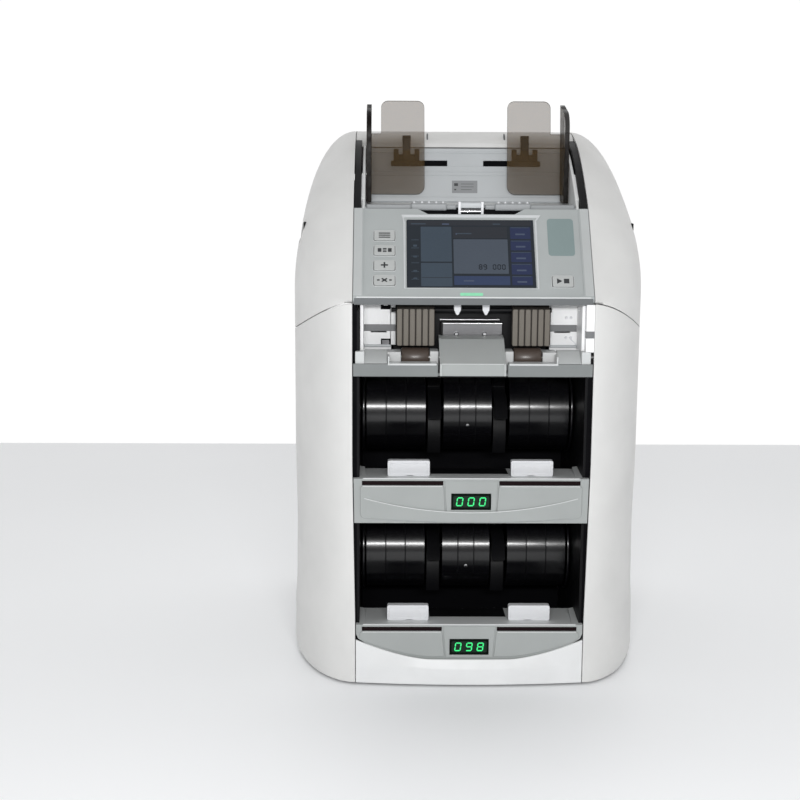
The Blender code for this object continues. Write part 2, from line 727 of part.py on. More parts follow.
def build_rear():
    half = REAR_HALF_WIDTH - 5.0
    cover = box("rear_cover", (-half, half), (REAR - 3, REAR), (8, 296), "shell_white")
    cut_box(cover, (-66, 66), (REAR - 5, REAR + 2), (72, 262))
    cut_box(cover, (104, 132), (REAR - 5, REAR + 2), (20, 42))
    cut_box(cover, (SWITCH_X - 7, SWITCH_X + 7), (REAR - 5, REAR + 2), (SWITCH_Z - 11, SWITCH_Z + 11))
    bore = 0.4
    for side in (-1, 1):
        arm = sorted((side * 92.0, side * 100.0))
        join(cover, rod("knuckle", arm, PIVOT_Y, PIVOT_Z, 4.5, "shell_white", 24, CUTTERS))
        join(cover, box("arm", arm, (REAR - 1, PIVOT_Y), (284, 296.5), "shell_white", CUTTERS))
    cut_hole(cover, (-120, 120), PIVOT_Y, PIVOT_Z, 2.0 + bore)
    rod("hinge_pin", (-101, 101), PIVOT_Y, PIVOT_Z, 2.0, "steel", 16)

    ears = ((80, 92), (242, 254))
    for low, high in ears:
        ear = to_object(
            pin_mesh(DOOR_AXIS_X, DOOR_AXIS_Y, (low, high), DOOR_KNUCKLE_R, 20), "ear", "shell_white", CUTTERS
        )
        join(cover, ear)
        join(
            cover,
            box("web", (DOOR_AXIS_X - 2, DOOR_AXIS_X), (REAR - 1, DOOR_AXIS_Y), (low, high), "steel", CUTTERS),
        )
    hole = to_object(
        pin_mesh(DOOR_AXIS_X, DOOR_AXIS_Y, (70, 262), DOOR_PIN_R + bore, 20), "door_hole", "steel", CUTTERS
    )
    door_y = (REAR + 0.5, REAR + 3.0)
    door = box("rear_door", DOOR_X, door_y, DOOR_Z, "shell_white")
    for low, high in ((92.6, 104), (230, 241.4)):
        knuckle = to_object(
            pin_mesh(DOOR_AXIS_X, DOOR_AXIS_Y, (low, high), DOOR_KNUCKLE_R, 20), "knuckle", "steel", CUTTERS
        )
        join(door, knuckle)
        join(door, box("web", (DOOR_AXIS_X, DOOR_X[0] + 1), (door_y[0], DOOR_AXIS_Y), (low, high), "steel", CUTTERS))
    cut(door, hole)
    join(door, box("grip", (56, 62), (REAR + 2, REAR + 8), (150, 184), "shell_white", CUTTERS))
    set_origin(door, DOOR_AXIS_X, DOOR_AXIS_Y, 167)
    pin = pin_mesh(DOOR_AXIS_X, DOOR_AXIS_Y, (81, 253), DOOR_PIN_R, 16)
    join(cover, to_object(pin, "door_pin", "steel", CUTTERS))

    inlet = box("mains_inlet", (104.3, 131.7), (REAR - 22, REAR + 1), (20.3, 41.7), "gloss_black")
    cut_box(inlet, (107, 129), (REAR - 15, REAR + 2), (23, 39))
    rocker = [
        (REAR - 6, SWITCH_Z - 5),
        (REAR + 1.0, SWITCH_Z - 9.5),
        (REAR + 0.2, SWITCH_Z),
        (REAR + 1.0, SWITCH_Z + 9.5),
        (REAR - 6, SWITCH_Z + 5),
    ]
    switch = flat("power_switch", [rocker], SWITCH_X - 6, SWITCH_X + 6, "YZ", "gloss_black")
    set_origin(switch, SWITCH_X, REAR - 4, SWITCH_Z)


# ---------------------------------------------------------------------------------------------- upper unit


def build_upper_shells():
    """Each cross-section runs straight up from the seam, then over to the inner edge beside the panel."""
    straight, power, steps = 0.25, 2.05, 8
    for side, label in ((-1, "left"), (1, "right")):
        columns = []
        for y, half in plan_stations(math.radians(9)):
            half += (UPPER_OPENING - OPENING) * (HALF_WIDTH - half) / (HALF_WIDTH - OPENING)
            low = seam_z(y) + SEAM_GAP / 2
            shoulder = low + (top_z(y) - low) * straight
            column = [(half, y, low)]
            for i in range(steps + 1):
                angle = math.pi / 2 * i / steps
                x = UPPER_OPENING + (half - UPPER_OPENING) * max(0.0, math.cos(angle)) ** (2 / power)
                z = shoulder + (top_z(y) - shoulder) * math.sin(angle) ** (2 / power)
                column.append((x, y, z))
            columns.append(column)
        rows = [list(row) for row in zip(*columns)]
        shell = grid_shell("upper_shell_" + label, side_rows(rows, side), "shell_white")
        cut_box(shell, sorted((side * 130, side * 165)), GRIP_Y, GRIP_Z)


def offset_line(points, distance):
    """A polyline moved sideways by its own normals, for a plate of even thickness."""
    moved = []
    for i, (y, z) in enumerate(points):
        before, after = points[max(0, i - 1)], points[min(len(points) - 1, i + 1)]
        dy, dz = after[0] - before[0], after[1] - before[1]
        length = math.hypot(dy, dz)
        moved.append((y + distance * dz / length, z - distance * dy / length))
    return moved


def build_top_cover():
    start = FRONT + 170.0
    line = [(start, 469.2), (start, 473.5), (start + 3, 477.5)]
    ends = (20.0, 35.0, 50.0, 95.0, 110.0, 122.0, 132.0, 140.0, 146.0, 151.0, 155.0, REAR)
    line += [(y, top_z(y) - 0.2) for y in ends]
    outline = line + offset_line(line, 3.0)[::-1]
    flat("top_cover", [outline], -PANEL_HALF, PANEL_HALF, "YZ", "shell_white")


def build_upper_rear():
    """Rear plate of the upper unit, inside the shells' rear rims, with the hinge leaves on it."""
    inset = 5.0
    y = REAR
    half = REAR_HALF_WIDTH - inset
    low, high = SEAM_REAR_Z + 4.0, top_z(y) - 2.5
    right = []
    for i in range(9):
        angle = math.pi / 2 * i / 8
        x = OPENING - inset + (half - OPENING + inset) * max(0.0, math.cos(angle)) ** 1.03
        right.append((x, low + (high - low) * math.sin(angle) ** 1.03))
    outline = right + mirrored(right)[::-1]
    plate = flat("upper_rear_cover", [outline], REAR - 3, REAR, "XZ", "shell_white")
    for side in (-1, 1):
        leaf = sorted((side * 79.0, side * 91.2))
        join(plate, rod("knuckle", leaf, PIVOT_Y, PIVOT_Z, 4.5, "shell_white", 24, CUTTERS))
        join(plate, box("arm", leaf, (REAR - 1, PIVOT_Y + 2), (299.5, 316), "shell_white", CUTTERS))
    cut_hole(plate, (-120, 120), PIVOT_Y, PIVOT_Z, 2.4)


def on_panel():
    """Places panel coordinates: x across, y up the slope and z out of the face."""
    turn = Matrix.Rotation(math.pi / 2 - PANEL_LEAN, 4, "X")
    return Matrix.Translation((0, FRONT, PANEL_Z)) @ turn


def panel_box(name, x, up, out, slot="panel_grey", collection=None):
    made = box_mesh(x, up, out)
    bmesh.ops.transform(made, matrix=on_panel(), verts=made.verts)
    return to_object(made, name, slot, collection or PARTS)


def build_panel():
    along = on_panel()
    corners = [(0, 0), (PANEL_LENGTH, 0), (PANEL_LENGTH, -PANEL_THICK), (7.03, -PANEL_THICK)]
    outline = []
    for up, out in corners:
        point = along @ Vector((0, up, out))
        outline.append((point.y, point.z))
    housing = flat("panel_housing", [outline], -PANEL_HALF, PANEL_HALF, "YZ", "panel_grey")
    depth = (-PANEL_THICK - 3, 3.0)
    notch_up = (91.5, PANEL_LENGTH + 3)
    notch = flat(
        "notch",
        [[(-38, notch_up[0]), (38, notch_up[0]), (52, notch_up[1]), (-52, notch_up[1])]],
        depth[0],
        depth[1],
        "XY",
        "panel_grey",
        CUTTERS,
        along,
    )
    cut(housing, notch)
    hole = (SCREEN_X[0] - GAP, SCREEN_X[1] + GAP), (SCREEN_UP[0] - GAP, SCREEN_UP[1] + GAP)
    cut(housing, panel_box("screen_hole", hole[0], hole[1], depth, collection=CUTTERS))
    panel_box("touch_screen", SCREEN_X, SCREEN_UP, (-6.0, -0.5), "screen_glass")
    for name, x, up, wide, tall in KEYS:
        across, along_slope = (x - wide / 2, x + wide / 2), (up - tall / 2, up + tall / 2)
        room = 0.4
        hole = (across[0] - room, across[1] + room), (along_slope[0] - room, along_slope[1] + room)
        cut(housing, panel_box(name + "_hole", hole[0], hole[1], depth, collection=CUTTERS))
        key = panel_box("key_" + name, across, along_slope, (-9.0, 0.9), "pad_white")
        middle = along @ Vector((x, up, 0))
        set_origin(key, *middle)


def bed_z(y):
    return BED_BACK_Z + (y - BED_BACK_Y) * BED_SLOPE


def build_hopper():
    front = FRONT + 68.0
    floor = [
        (front, bed_z(front)),
        (BED_BACK_Y - 1, bed_z(BED_BACK_Y - 1)),
        (BED_BACK_Y - 1, bed_z(BED_BACK_Y - 1) - 3),
        (front, bed_z(front) - 3),
    ]
    bed = flat("hopper_bed", [floor], -HOPPER_HALF - 1, HOPPER_HALF + 1, "YZ", "panel_grey")
    for side in (-1, 1):
        edge = (front, front + 30, front + 60, BED_BACK_Y + 8)
        wall = [(y, top_z(y) - 6.0) for y in edge]
        wall += [(BED_BACK_Y + 8, 412.0), (front, bed_z(front) - 3)]
        limits = sorted((side * (HOPPER_HALF + 0.5), side * (HOPPER_HALF + 3.0)))
        join(bed, flat("wall", [wall], limits[0], limits[1], "YZ", "pad_white", CUTTERS))
        window = sorted((side * 14.0, side * 38.0))
        cut_box(bed, window, (FEED_Y - 13, FEED_Y + 13), (380, 430))

    lean = math.tan(BACK_LEAN)
    foot, head = (BED_BACK_Y, 411.0), (BED_BACK_Y + (468.5 - 411.0) * lean, 468.5)
    profile = [foot, head, (head[0] + 3, head[1]), (foot[0] + 3, foot[1])]
    plate = flat("hopper_back", [profile], -HOPPER_HALF, HOPPER_HALF, "YZ", "panel_grey")
    for side in (-1, 1):
        slot = sorted((side * 17.0, side * 68.0))
        cut_box(plate, slot, (BED_BACK_Y - 5, BED_BACK_Y + 30), (GUIDE_SLOT_Z - 2.6, GUIDE_SLOT_Z + 2.6))

    shaft = rod("feed_roller", (-96, 96), FEED_Y, FEED_Z, 3.0, "steel", 16)
    for side in (-1, 1):
        limits = sorted((side * 16.0, side * 36.0))
        join(shaft, rod("tyre", limits, FEED_Y, FEED_Z, FEED_R, "rubber_brown", 24, CUTTERS))
    set_origin(shaft, 0, FEED_Y, FEED_Z)

    for side in (-1, 1):
        post = sorted((side * 8.5, side * 11.5))
        join(bed, box("post", post, (FRONT + 68.5, FRONT + 73), (411.0, 424.0), "pad_white", CUTTERS))
    join(bed, rod("gate_bar", (-10, 10), FRONT + 71, 413.2, 1.8, "steel", 16, CUTTERS))
    box("image_sensor", (-94, 94), (-60, -30), (346, 366), "gloss_black")


def build_guide(side, label):
    """A smoked note guide: side plate, back plate with its tall paddle, and the carrier in its slot."""
    foot_y = BED_BACK_Y - 5.5
    lean = math.tan(BACK_LEAN)
    start = FRONT + 120.0
    plate = [
        (start, bed_z(start) + 1.5),
        (start, 486.0),
        (start + 5, 495.0),
        (start + 14, 503.0),
        (foot_y + 62 * lean, 509.0),
        (foot_y + 4 * lean, 427.0),
        (foot_y - 2, bed_z(foot_y) + 1.5),
    ]
    side_x = sorted((side * (GUIDE_X - GUIDE_RIB + 1.25), side * (GUIDE_X + 1.25)))
    guide = flat("note_guide_" + label, [plate], side_x[0], side_x[1], "YZ", "smoke")
    inner, middle, outer = 39.0, 79.5, GUIDE_X
    corner = 7.0
    back = [
        (outer, 0),
        (outer, 57),
        (middle, 57),
        (middle, 88 - corner),
        (middle - 2, 86),
        (middle - corner, 88),
        (inner + corner, 88),
        (inner + 2, 86),
        (inner, 88 - corner),
        (inner - 1, corner),
        (inner + 1, 2),
        (inner + corner, 0),
    ]
    if side < 0:
        back = mirrored(back)
    tilt = Matrix.Translation((0, foot_y, 426.0)) @ Matrix.Rotation(-BACK_LEAN, 4, "X")
    sheet = flat("back", [back], -GUIDE_PLATE, 0.0, "XZ", "smoke", CUTTERS, tilt)
    join(guide, sheet)
    slot_y = BED_BACK_Y + (GUIDE_SLOT_Z - 411.0) * lean
    across = sorted((side * 51.5, side * 59.5))
    stem = box("stem", across, (slot_y - 10, slot_y + 12), (GUIDE_SLOT_Z - 2.2, GUIDE_SLOT_Z + 2.2), "smoke", CUTTERS)
    join(guide, stem)
    rack_z = GUIDE_SLOT_Z + side * (PINION_R + 2.3)
    reach = sorted((side * 59.5, -side * 20.0))
    rack = box("rack", reach, (slot_y + 8, slot_y + 12), (rack_z - 1.8, rack_z + 1.8), "smoke", CUTTERS)
    join(guide, rack)
    foot = box("link", across, (slot_y + 8, slot_y + 12), sorted((GUIDE_SLOT_Z, rack_z)), "smoke", CUTTERS)
    join(guide, foot)
    set_origin(guide, side * GUIDE_X, foot_y, GUIDE_SLOT_Z)


def build_guides():
    for side, label in ((-1, "left"), (1, "right")):
        build_guide(side, label)
    slot_y = BED_BACK_Y + (GUIDE_SLOT_Z - 411.0) * math.tan(BACK_LEAN)
    disc = flat(
        "guide_pinion", [circle(0.0, GUIDE_SLOT_Z, PINION_R, 24)], slot_y + 8.5, slot_y + 11.5, "XZ", "pad_white"
    )
    set_origin(disc, 0, slot_y + 10, GUIDE_SLOT_Z)


UPPER = (
    "upper_",
    "top_cover",
    "panel_",
    "touch_screen",
    "key_",
    "hopper_",
    "feed_",
    "image_sensor",
    "note_guide",
    "guide_pinion",
)


def parent_upper_unit():
    """The upper unit's pieces hang from an empty on its rear hinge."""
    pivot = bpy.data.objects.new("upper_unit_pivot", None)
    pivot.location = Vector((0, PIVOT_Y, PIVOT_Z)) * MM
    PARTS.objects.link(pivot)
    bpy.context.view_layer.update()
    for obj in PARTS.objects:
        if obj.name.startswith(UPPER) and obj is not pivot:
            obj.parent = pivot
            obj.matrix_parent_inverse = pivot.matrix_world.inverted()


clear_scene()
PARTS = new_collection("banknote_counter")
CUTTERS = new_collection("cutters", hidden=True)
build_lower_shells()
build_base()
build_front_cover()
build_side_frames()
build_trays()
build_note_stops()
build_drum_covers()
build_stacker_shafts()
build_drive()
build_diverter()
build_reject_pocket()
build_rear()
build_upper_shells()
build_top_cover()
build_upper_rear()
build_panel()
build_hopper()
build_guides()
parent_upper_unit()
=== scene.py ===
"""Looks of the two-pocket banknote counter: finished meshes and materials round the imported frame.

Lengths are millimetres, as in the model's source, and the mesh helpers scale them to metres. +Z is up and the
front faces -Y. Each piece rides on the body of the frame that carries it.
"""

import json
import math

import bmesh
import bpy
from mathutils import Matrix, Vector


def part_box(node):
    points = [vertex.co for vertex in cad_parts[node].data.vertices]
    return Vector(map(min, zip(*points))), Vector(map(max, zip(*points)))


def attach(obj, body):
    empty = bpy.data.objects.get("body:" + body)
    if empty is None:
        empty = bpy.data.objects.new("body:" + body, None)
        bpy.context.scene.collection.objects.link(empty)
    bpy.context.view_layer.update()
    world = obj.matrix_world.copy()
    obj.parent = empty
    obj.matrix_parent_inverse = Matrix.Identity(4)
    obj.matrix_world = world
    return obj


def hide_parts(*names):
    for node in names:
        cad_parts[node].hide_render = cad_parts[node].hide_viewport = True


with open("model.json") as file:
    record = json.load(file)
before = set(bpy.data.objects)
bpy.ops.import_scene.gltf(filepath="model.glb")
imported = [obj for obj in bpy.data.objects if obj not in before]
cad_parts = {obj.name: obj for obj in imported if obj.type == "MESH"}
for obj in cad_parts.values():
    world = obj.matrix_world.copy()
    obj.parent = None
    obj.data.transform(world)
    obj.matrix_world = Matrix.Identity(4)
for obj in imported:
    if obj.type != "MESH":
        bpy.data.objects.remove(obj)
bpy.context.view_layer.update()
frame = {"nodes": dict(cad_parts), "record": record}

MM = 0.001
HANDS = ((-1, "left"), (1, "right"))


def limits(node):
    """The x, y and z limits of a CAD node in millimetres."""
    low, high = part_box(node)
    return [(first / MM, last / MM) for first, last in zip(low, high)]


def middle(node):
    return [(low + high) / 2 for low, high in limits(node)]


# Driving places, read from the frame.
OPENING = limits("lower_shell_right")[0][0]  # half width of the front opening at its foot
UPPER_OPENING = limits("upper_shell_right")[0][0]  # and above FLARE_Z, where it has widened
FLARE_Z = (60.0, 200.0)
HALF_WIDTH = limits("upper_shell_right")[0][1]
CREST_Z = limits("upper_shell_right")[2][1]
FRONT, REAR = limits("lower_shell_right")[1]
INSIDE = limits("side_frame_right")[0][0] - 0.4
TRAY_TOPS = {"upper": limits("tray_upper")[2][1], "lower": limits("tray_lower")[2][1]}
HOPPER_HALF = limits("hopper_back")[0][1]

# Form of the shells, the same rules as in the model.
REAR_HALF_WIDTH = 145.0
SWEEP, SWEEP_POWER = 105.0, 1.8
SHELL = 3.0
WALL_PROFILE = (
    (2.0, -2.5), (6.0, 0.0), (12.0, 1.4), (45.0, 1.0), (80.0, -0.6), (130.0, -1.2), (200.0, 0.0), (260.0, 0.0),
)
SEAM_FRONT_Z, SEAM_REAR_Z, SEAM_POWER, SEAM_GAP = 341.0, 300.0, 4.8, 0.8
GRIP_Y, GRIP_Z = (-70.0, 5.0), (384.0, 402.0)
ARC_FLAT, BULGE = 34.0, 6.0

# Control panel: a plane leaning back from its lower edge.
PANEL_Z = limits("panel_housing")[2][0]
PANEL_LEAN = math.radians(38.0)
PANEL_LENGTH = (limits("panel_housing")[2][1] - PANEL_Z) / math.cos(PANEL_LEAN)
PANEL_HALF = limits("panel_housing")[0][1]
PANEL_THICK = 9.0
SCREEN_X = limits("touch_screen")[0]
SCREEN_UP = (16.0, 85.4)
KEYS = {"menu": 68.3, "mode": 52.9, "add": 37.6, "clear": 22.4, "start": 22.0}

# Hopper: the back plate leans back from the rear edge of the bed.
BACK_Y, BACK_Z = limits("hopper_back")[1][0], limits("hopper_back")[2][0]
BACK_LEAN = math.radians(12.4)
SLOT_Z = middle("guide_pinion")[2]

FEED_Y, FEED_Z = middle("feed_roller")[1:]
DRUM_Y, DRUM_R = limits("drum_cover_upper")[1][0] + 38.0, 38.0
DRUM_Z = {label: middle("drum_cover_" + label)[2] for label in ("upper", "lower")}

# ------------------------------------------------------------------------------------------------ materials


def add(tree, kind, **values):
    """A node with some of its inputs or settings filled in."""
    made = tree.nodes.new("ShaderNode" + kind)
    for key, value in values.items():
        if hasattr(made, key):
            setattr(made, key, value)
        else:
            made.inputs[key.replace("_", " ")].default_value = value
    return made


def blank(name, colour, roughness, metallic=0.0, specular=0.5):
    """A material with its Principled shader's constants set, and where its patterns start: object coordinates."""
    made = bpy.data.materials.new(name)
    made.use_nodes = True
    tree = made.node_tree
    shader = tree.nodes["Principled BSDF"]
    shader.inputs["Base Color"].default_value = (*colour, 1.0)
    shader.inputs["Roughness"].default_value = roughness
    shader.inputs["Metallic"].default_value = metallic
    shader.inputs["Specular IOR Level"].default_value = specular
    place = add(tree, "TexCoord")
    return made, tree, shader, place.outputs["Object"]


def stretched(tree, place, scale):
    """Coordinates multiplied along each axis, for grain that runs one way."""
    mapping = add(tree, "Mapping")
    mapping.inputs["Scale"].default_value = scale
    tree.links.new(place, mapping.inputs["Vector"])
    return mapping.outputs["Vector"]


def noise(tree, place, scale, detail=3.0):
    made = add(tree, "TexNoise", Scale=scale, Detail=detail)
    tree.links.new(place, made.inputs["Vector"])
    return made.outputs["Fac"]


def spread(tree, value, low, high, start=0.3, end=0.7):
    """Maps a pattern's values from one range onto another."""
    made = add(tree, "MapRange")
    made.inputs["From Min"].default_value = start
    made.inputs["From Max"].default_value = end
    made.inputs["To Min"].default_value = low
    made.inputs["To Max"].default_value = high
    tree.links.new(value, made.inputs["Value"])
    return made.outputs["Result"]


def blended(tree, factor, first, second):
    """Mixes two colours, each a tuple or another node's output, by a pattern."""
    made = add(tree, "Mix", data_type="RGBA")
    tree.links.new(factor, made.inputs["Factor"])
    sockets = [item for item in made.inputs if item.type == "RGBA"]
    for socket, colour in zip(sockets, (first, second)):
        if isinstance(colour, tuple):
            socket.default_value = (*colour, 1.0)
        else:
            tree.links.new(colour, socket)
    return next(item for item in made.outputs if item.type == "RGBA")


def bumped(tree, shader, height, strength, distance):
    made = add(tree, "Bump", Strength=strength, Distance=distance * MM)
    tree.links.new(height, made.inputs["Height"])
    tree.links.new(made.outputs["Normal"], shader.inputs["Normal"])


def scaled(colour, factor):
    return tuple(min(1.0, channel * factor) for channel in colour)


def moulded(name, colour, roughness, grain=0.55, depth=0.03, mottling=0.035, soil=0.0, specular=0.5):
    """Moulded plastic: a fine eroded grain, faint mottling, handling marks in the gloss, and soil near the foot."""
    made, tree, shader, place = blank(name, colour, roughness, specular=specular)
    fine = noise(tree, place, 1000 / grain, 2.0)
    broad = noise(tree, place, 22.0, 4.0)
    tone = blended(tree, spread(tree, broad, 0, 1), scaled(colour, 1 - mottling), scaled(colour, 1 + mottling))
    if soil:
        height = add(tree, "SeparateXYZ")
        tree.links.new(place, height.inputs["Vector"])
        low = spread(tree, height.outputs["Z"], 1.0, 0.0, 0.0, 0.07)
        patches = spread(tree, noise(tree, place, 60.0, 5.0), 0.0, soil, 0.42, 0.75)
        amount = add(tree, "Math", operation="MULTIPLY")
        tree.links.new(low, amount.inputs[0])
        tree.links.new(patches, amount.inputs[1])
        tone = blended(tree, amount.outputs[0], tone, (0.36, 0.32, 0.27))
    tree.links.new(tone, shader.inputs["Base Color"])
    smears = noise(tree, stretched(tree, place, (1.0, 1.0, 2.6)), 34.0, 5.0)
    tree.links.new(spread(tree, smears, roughness * 0.86, roughness * 1.16), shader.inputs["Roughness"])
    bumped(tree, shader, fine, 0.35, depth)
    return made


def polished(name, colour, roughness, scratch_axis=(1, 1, 1), dust=0.0, specular=0.5):
    """Glossy plastic with hairline scratches along one direction and a little dust."""
    made, tree, shader, place = blank(name, colour, roughness, specular=specular)
    hair = noise(tree, stretched(tree, place, scratch_axis), 900.0, 2.0)
    tree.links.new(spread(tree, hair, roughness * 0.7, roughness * 1.9, 0.35, 0.75), shader.inputs["Roughness"])
    specks = spread(tree, noise(tree, place, 700.0, 1.0), 0.0, dust, 0.70, 0.78)
    film = spread(tree, noise(tree, place, 30.0, 4.0), 0.0, dust * 0.25)
    amount = add(tree, "Math", operation="ADD")
    tree.links.new(specks, amount.inputs[0])
    tree.links.new(film, amount.inputs[1])
    tone = blended(tree, amount.outputs[0], colour, (0.34, 0.33, 0.31))
    tree.links.new(tone, shader.inputs["Base Color"])
    bumped(tree, shader, hair, 0.12, 0.01)
    return made


def metal(name, colour, roughness, brush=(1, 40, 40)):
    """Ground or plated steel, its fine lines running along the axis that brush leaves unstretched."""
    made, tree, shader, place = blank(name, colour, roughness, metallic=1.0)
    lines = noise(tree, stretched(tree, place, brush), 60.0, 4.0)
    tree.links.new(spread(tree, lines, roughness * 0.7, roughness * 1.5), shader.inputs["Roughness"])
    stain = spread(tree, noise(tree, place, 45.0, 3.0), 0, 1)
    tree.links.new(blended(tree, stain, scaled(colour, 0.85), colour), shader.inputs["Base Color"])
    bumped(tree, shader, lines, 0.15, 0.02)
    return made


def smoked(name, colour, alpha, roughness, specular=0.35):
    """Smoked clear sheet with a faint haze in its gloss."""
    made, tree, shader, place = blank(name, colour, roughness, specular=specular)
    shader.inputs["Alpha"].default_value = alpha
    haze = noise(tree, place, 70.0, 4.0)
    tree.links.new(spread(tree, haze, roughness * 0.6, roughness * 2.2), shader.inputs["Roughness"])
    tone = blended(tree, spread(tree, haze, 0, 1), scaled(colour, 0.92), scaled(colour, 1.06))
    tree.links.new(tone, shader.inputs["Base Color"])
    return made


def lit(name, colour, strength, base=(0.02, 0.02, 0.02)):
    """A glowing segment or lamp. Its light varies a little across it, as a diffused lamp's does."""
    made, tree, shader, place = blank(name, base, 0.3)
    shader.inputs["Emission Color"].default_value = (*colour, 1.0)
    glow = spread(tree, noise(tree, place, 240.0, 1.0), strength * 0.9, strength * 1.1)
    tree.links.new(glow, shader.inputs["Emission Strength"])
    return made


def tile(name, colour, glow=0.25):
    """A patch of the screen's picture: glossy, a little self-lit, with a fine pixel grid in its tone."""
    made, tree, shader, place = blank(name, colour, 0.22, specular=0.3)
    shader.inputs["Emission Color"].default_value = (*colour, 1.0)
    shader.inputs["Emission Strength"].default_value = glow
    grid = noise(tree, stretched(tree, place, (1, 3, 3)), 420.0, 1.0)
    broad = spread(tree, noise(tree, place, 18.0, 2.0), 0.3, 0.7)
    mixed = add(tree, "Math", operation="ADD", use_clamp=True)
    tree.links.new(spread(tree, grid, -0.12, 0.12), mixed.inputs[0])
    tree.links.new(broad, mixed.inputs[1])
    tone = blended(tree, mixed.outputs[0], scaled(colour, 0.9), scaled(colour, 1.12))
    tree.links.new(tone, shader.inputs["Base Color"])
    return made


SHELL_WHITE = moulded("shell white", (0.715, 0.715, 0.705), 0.46, soil=0.06, specular=0.35)
COVER_WHITE = moulded("base cover white", (0.79, 0.80, 0.805), 0.42, soil=0.06, specular=0.35)
PANEL_GREY = moulded("panel grey", (0.415, 0.44, 0.44), 0.42, grain=0.5, specular=0.35)
# Painted highlight: light strips along edges that face up, on the tray rails, slit lips, apron crest and the panel's
# lower edge.
EDGE_HIGHLIGHT = moulded("painted edge highlight", (0.66, 0.68, 0.68), 0.32, grain=0.5)
# Pale grey for the reject blocks, corners and key surrounds; the same grey also paints highlights along the reject
# ledge's top and the chute's brow.
PALE_GREY_AND_HIGHLIGHT = moulded("pale grey and painted highlight", (0.60, 0.62, 0.62), 0.32, grain=0.5)
# A lighter copy of the panel grey: painted highlight on the side bands, which lean towards the light.
SIDE_BAND_HIGHLIGHT = moulded("panel side band painted lighter", (0.49, 0.51, 0.51), 0.40, grain=0.5, specular=0.35)
# Dark grey for printed lines and the small top-cover marks, and as painted shade on the panel's lower lip.
DARK_GREY_AND_LIP_SHADE = moulded("dark grey and painted lip shade", (0.125, 0.135, 0.14), 0.45)
TRAY_GREY = moulded("tray grey", (0.37, 0.39, 0.385), 0.38, grain=0.5, specular=0.35)
CHUTE_GREY = moulded("chute grey", (0.47, 0.49, 0.485), 0.38, grain=0.5, specular=0.35)
WING_GREY = moulded("deck wing grey", (0.52, 0.535, 0.535), 0.40, grain=0.5, specular=0.35)
LEDGE_GREY = moulded("ledge grey", (0.215, 0.23, 0.23), 0.40, grain=0.5, specular=0.35)
DECK_GREY = moulded("deck grey", (0.68, 0.70, 0.70), 0.42, specular=0.3)
HOPPER_GREY = moulded("hopper grey", (0.54, 0.565, 0.58), 0.36, grain=0.5, specular=0.35)
RAIL_GREY = moulded("hopper rail grey", (0.31, 0.325, 0.335), 0.36, grain=0.5, specular=0.35)
HOPPER_WHITE = moulded("hopper white", (0.70, 0.71, 0.71), 0.36, specular=0.35)
WALL_WHITE = moulded("reject wall white", (0.93, 0.935, 0.94), 0.36)
BAND_GREY = moulded("wall band grey", (0.17, 0.175, 0.18), 0.40)
PAD_WHITE = moulded("pad white", (0.80, 0.81, 0.835), 0.28, grain=0.7, depth=0.015)
KEY_WHITE = moulded("key white", (0.47, 0.485, 0.48), 0.36, grain=0.35, depth=0.02, specular=0.35)
PATCH_GREEN = moulded("reader patch", (0.235, 0.300, 0.300), 0.34, grain=0.4, specular=0.35)
GLASS_BLACK = polished("window black", (0.001, 0.004, 0.002), 0.24, dust=0.0, specular=0.06)
GLOSS_BLACK = polished("gloss black", (0.006, 0.006, 0.007), 0.18, (1, 14, 14), dust=0.03, specular=0.2)
DRUM_BLACK = polished("drum black", (0.003, 0.003, 0.004), 0.17, (14, 1, 1), dust=0.01, specular=0.5)
SATIN_BLACK = moulded("satin black", (0.006, 0.006, 0.007), 0.45, mottling=0.2, specular=0.15)
FRAME_BLACK = moulded("frame black", (0.005, 0.005, 0.006), 0.42, mottling=0.2, specular=0.12)
# Near black: the colour of some dark parts, and painted shade filling slots, louvres, vents and gaps that would show
# the dark inside.
BLACK_AND_OPENING_SHADE = moulded("black and painted shade in openings", (0.002, 0.002, 0.003), 0.6, specular=0.06)
SENSOR_RED = polished("sensor window", (0.008, 0.002, 0.003), 0.20, dust=0.0, specular=0.08)
RIB_BROWN = polished("ribbed flap", (0.165, 0.148, 0.125), 0.34, (14, 14, 1), dust=0.06, specular=0.35)
RIB_SHADE = polished("between the ribs", (0.035, 0.030, 0.026), 0.40, dust=0.02, specular=0.2)
ROLLER_BROWN = polished("roller brown", (0.085, 0.062, 0.050), 0.34, (1, 8, 8), dust=0.04, specular=0.8)
RUBBER = moulded("foot rubber", (0.018, 0.018, 0.018), 0.75, grain=0.9, depth=0.06)
STEEL = metal("ground steel", (0.60, 0.60, 0.61), 0.26)
CHROME = metal("chrome", (0.80, 0.80, 0.81), 0.10)
PLATE_GREY = metal("dark plate", (0.16, 0.16, 0.165), 0.36)
SMOKE = smoked("smoked sheet", (0.115, 0.070, 0.025), 0.35, 0.12, 0.25)
SMOKE_RIM = smoked("smoked rim", (0.006, 0.004, 0.003), 0.94, 0.30, 0.08)
STICKER = moulded("blank sticker", (0.27, 0.28, 0.29), 0.35, grain=0.3)
INK = moulded("printed mark", (0.030, 0.032, 0.035), 0.5, depth=0.0)
LED_GREEN = lit("digit green", (0.02, 0.85, 0.22), 1.25)
LAMP_GREEN = lit("status lamp", (0.30, 1.0, 0.58), 0.30, (0.2, 0.45, 0.30))
# Painted light: the green glow that the digits spill into their window, as a colour without emission.
DIGIT_GLOW_SPILL = moulded("painted green glow of the digits", (0.003, 0.016, 0.008), 0.3, specular=0.2)
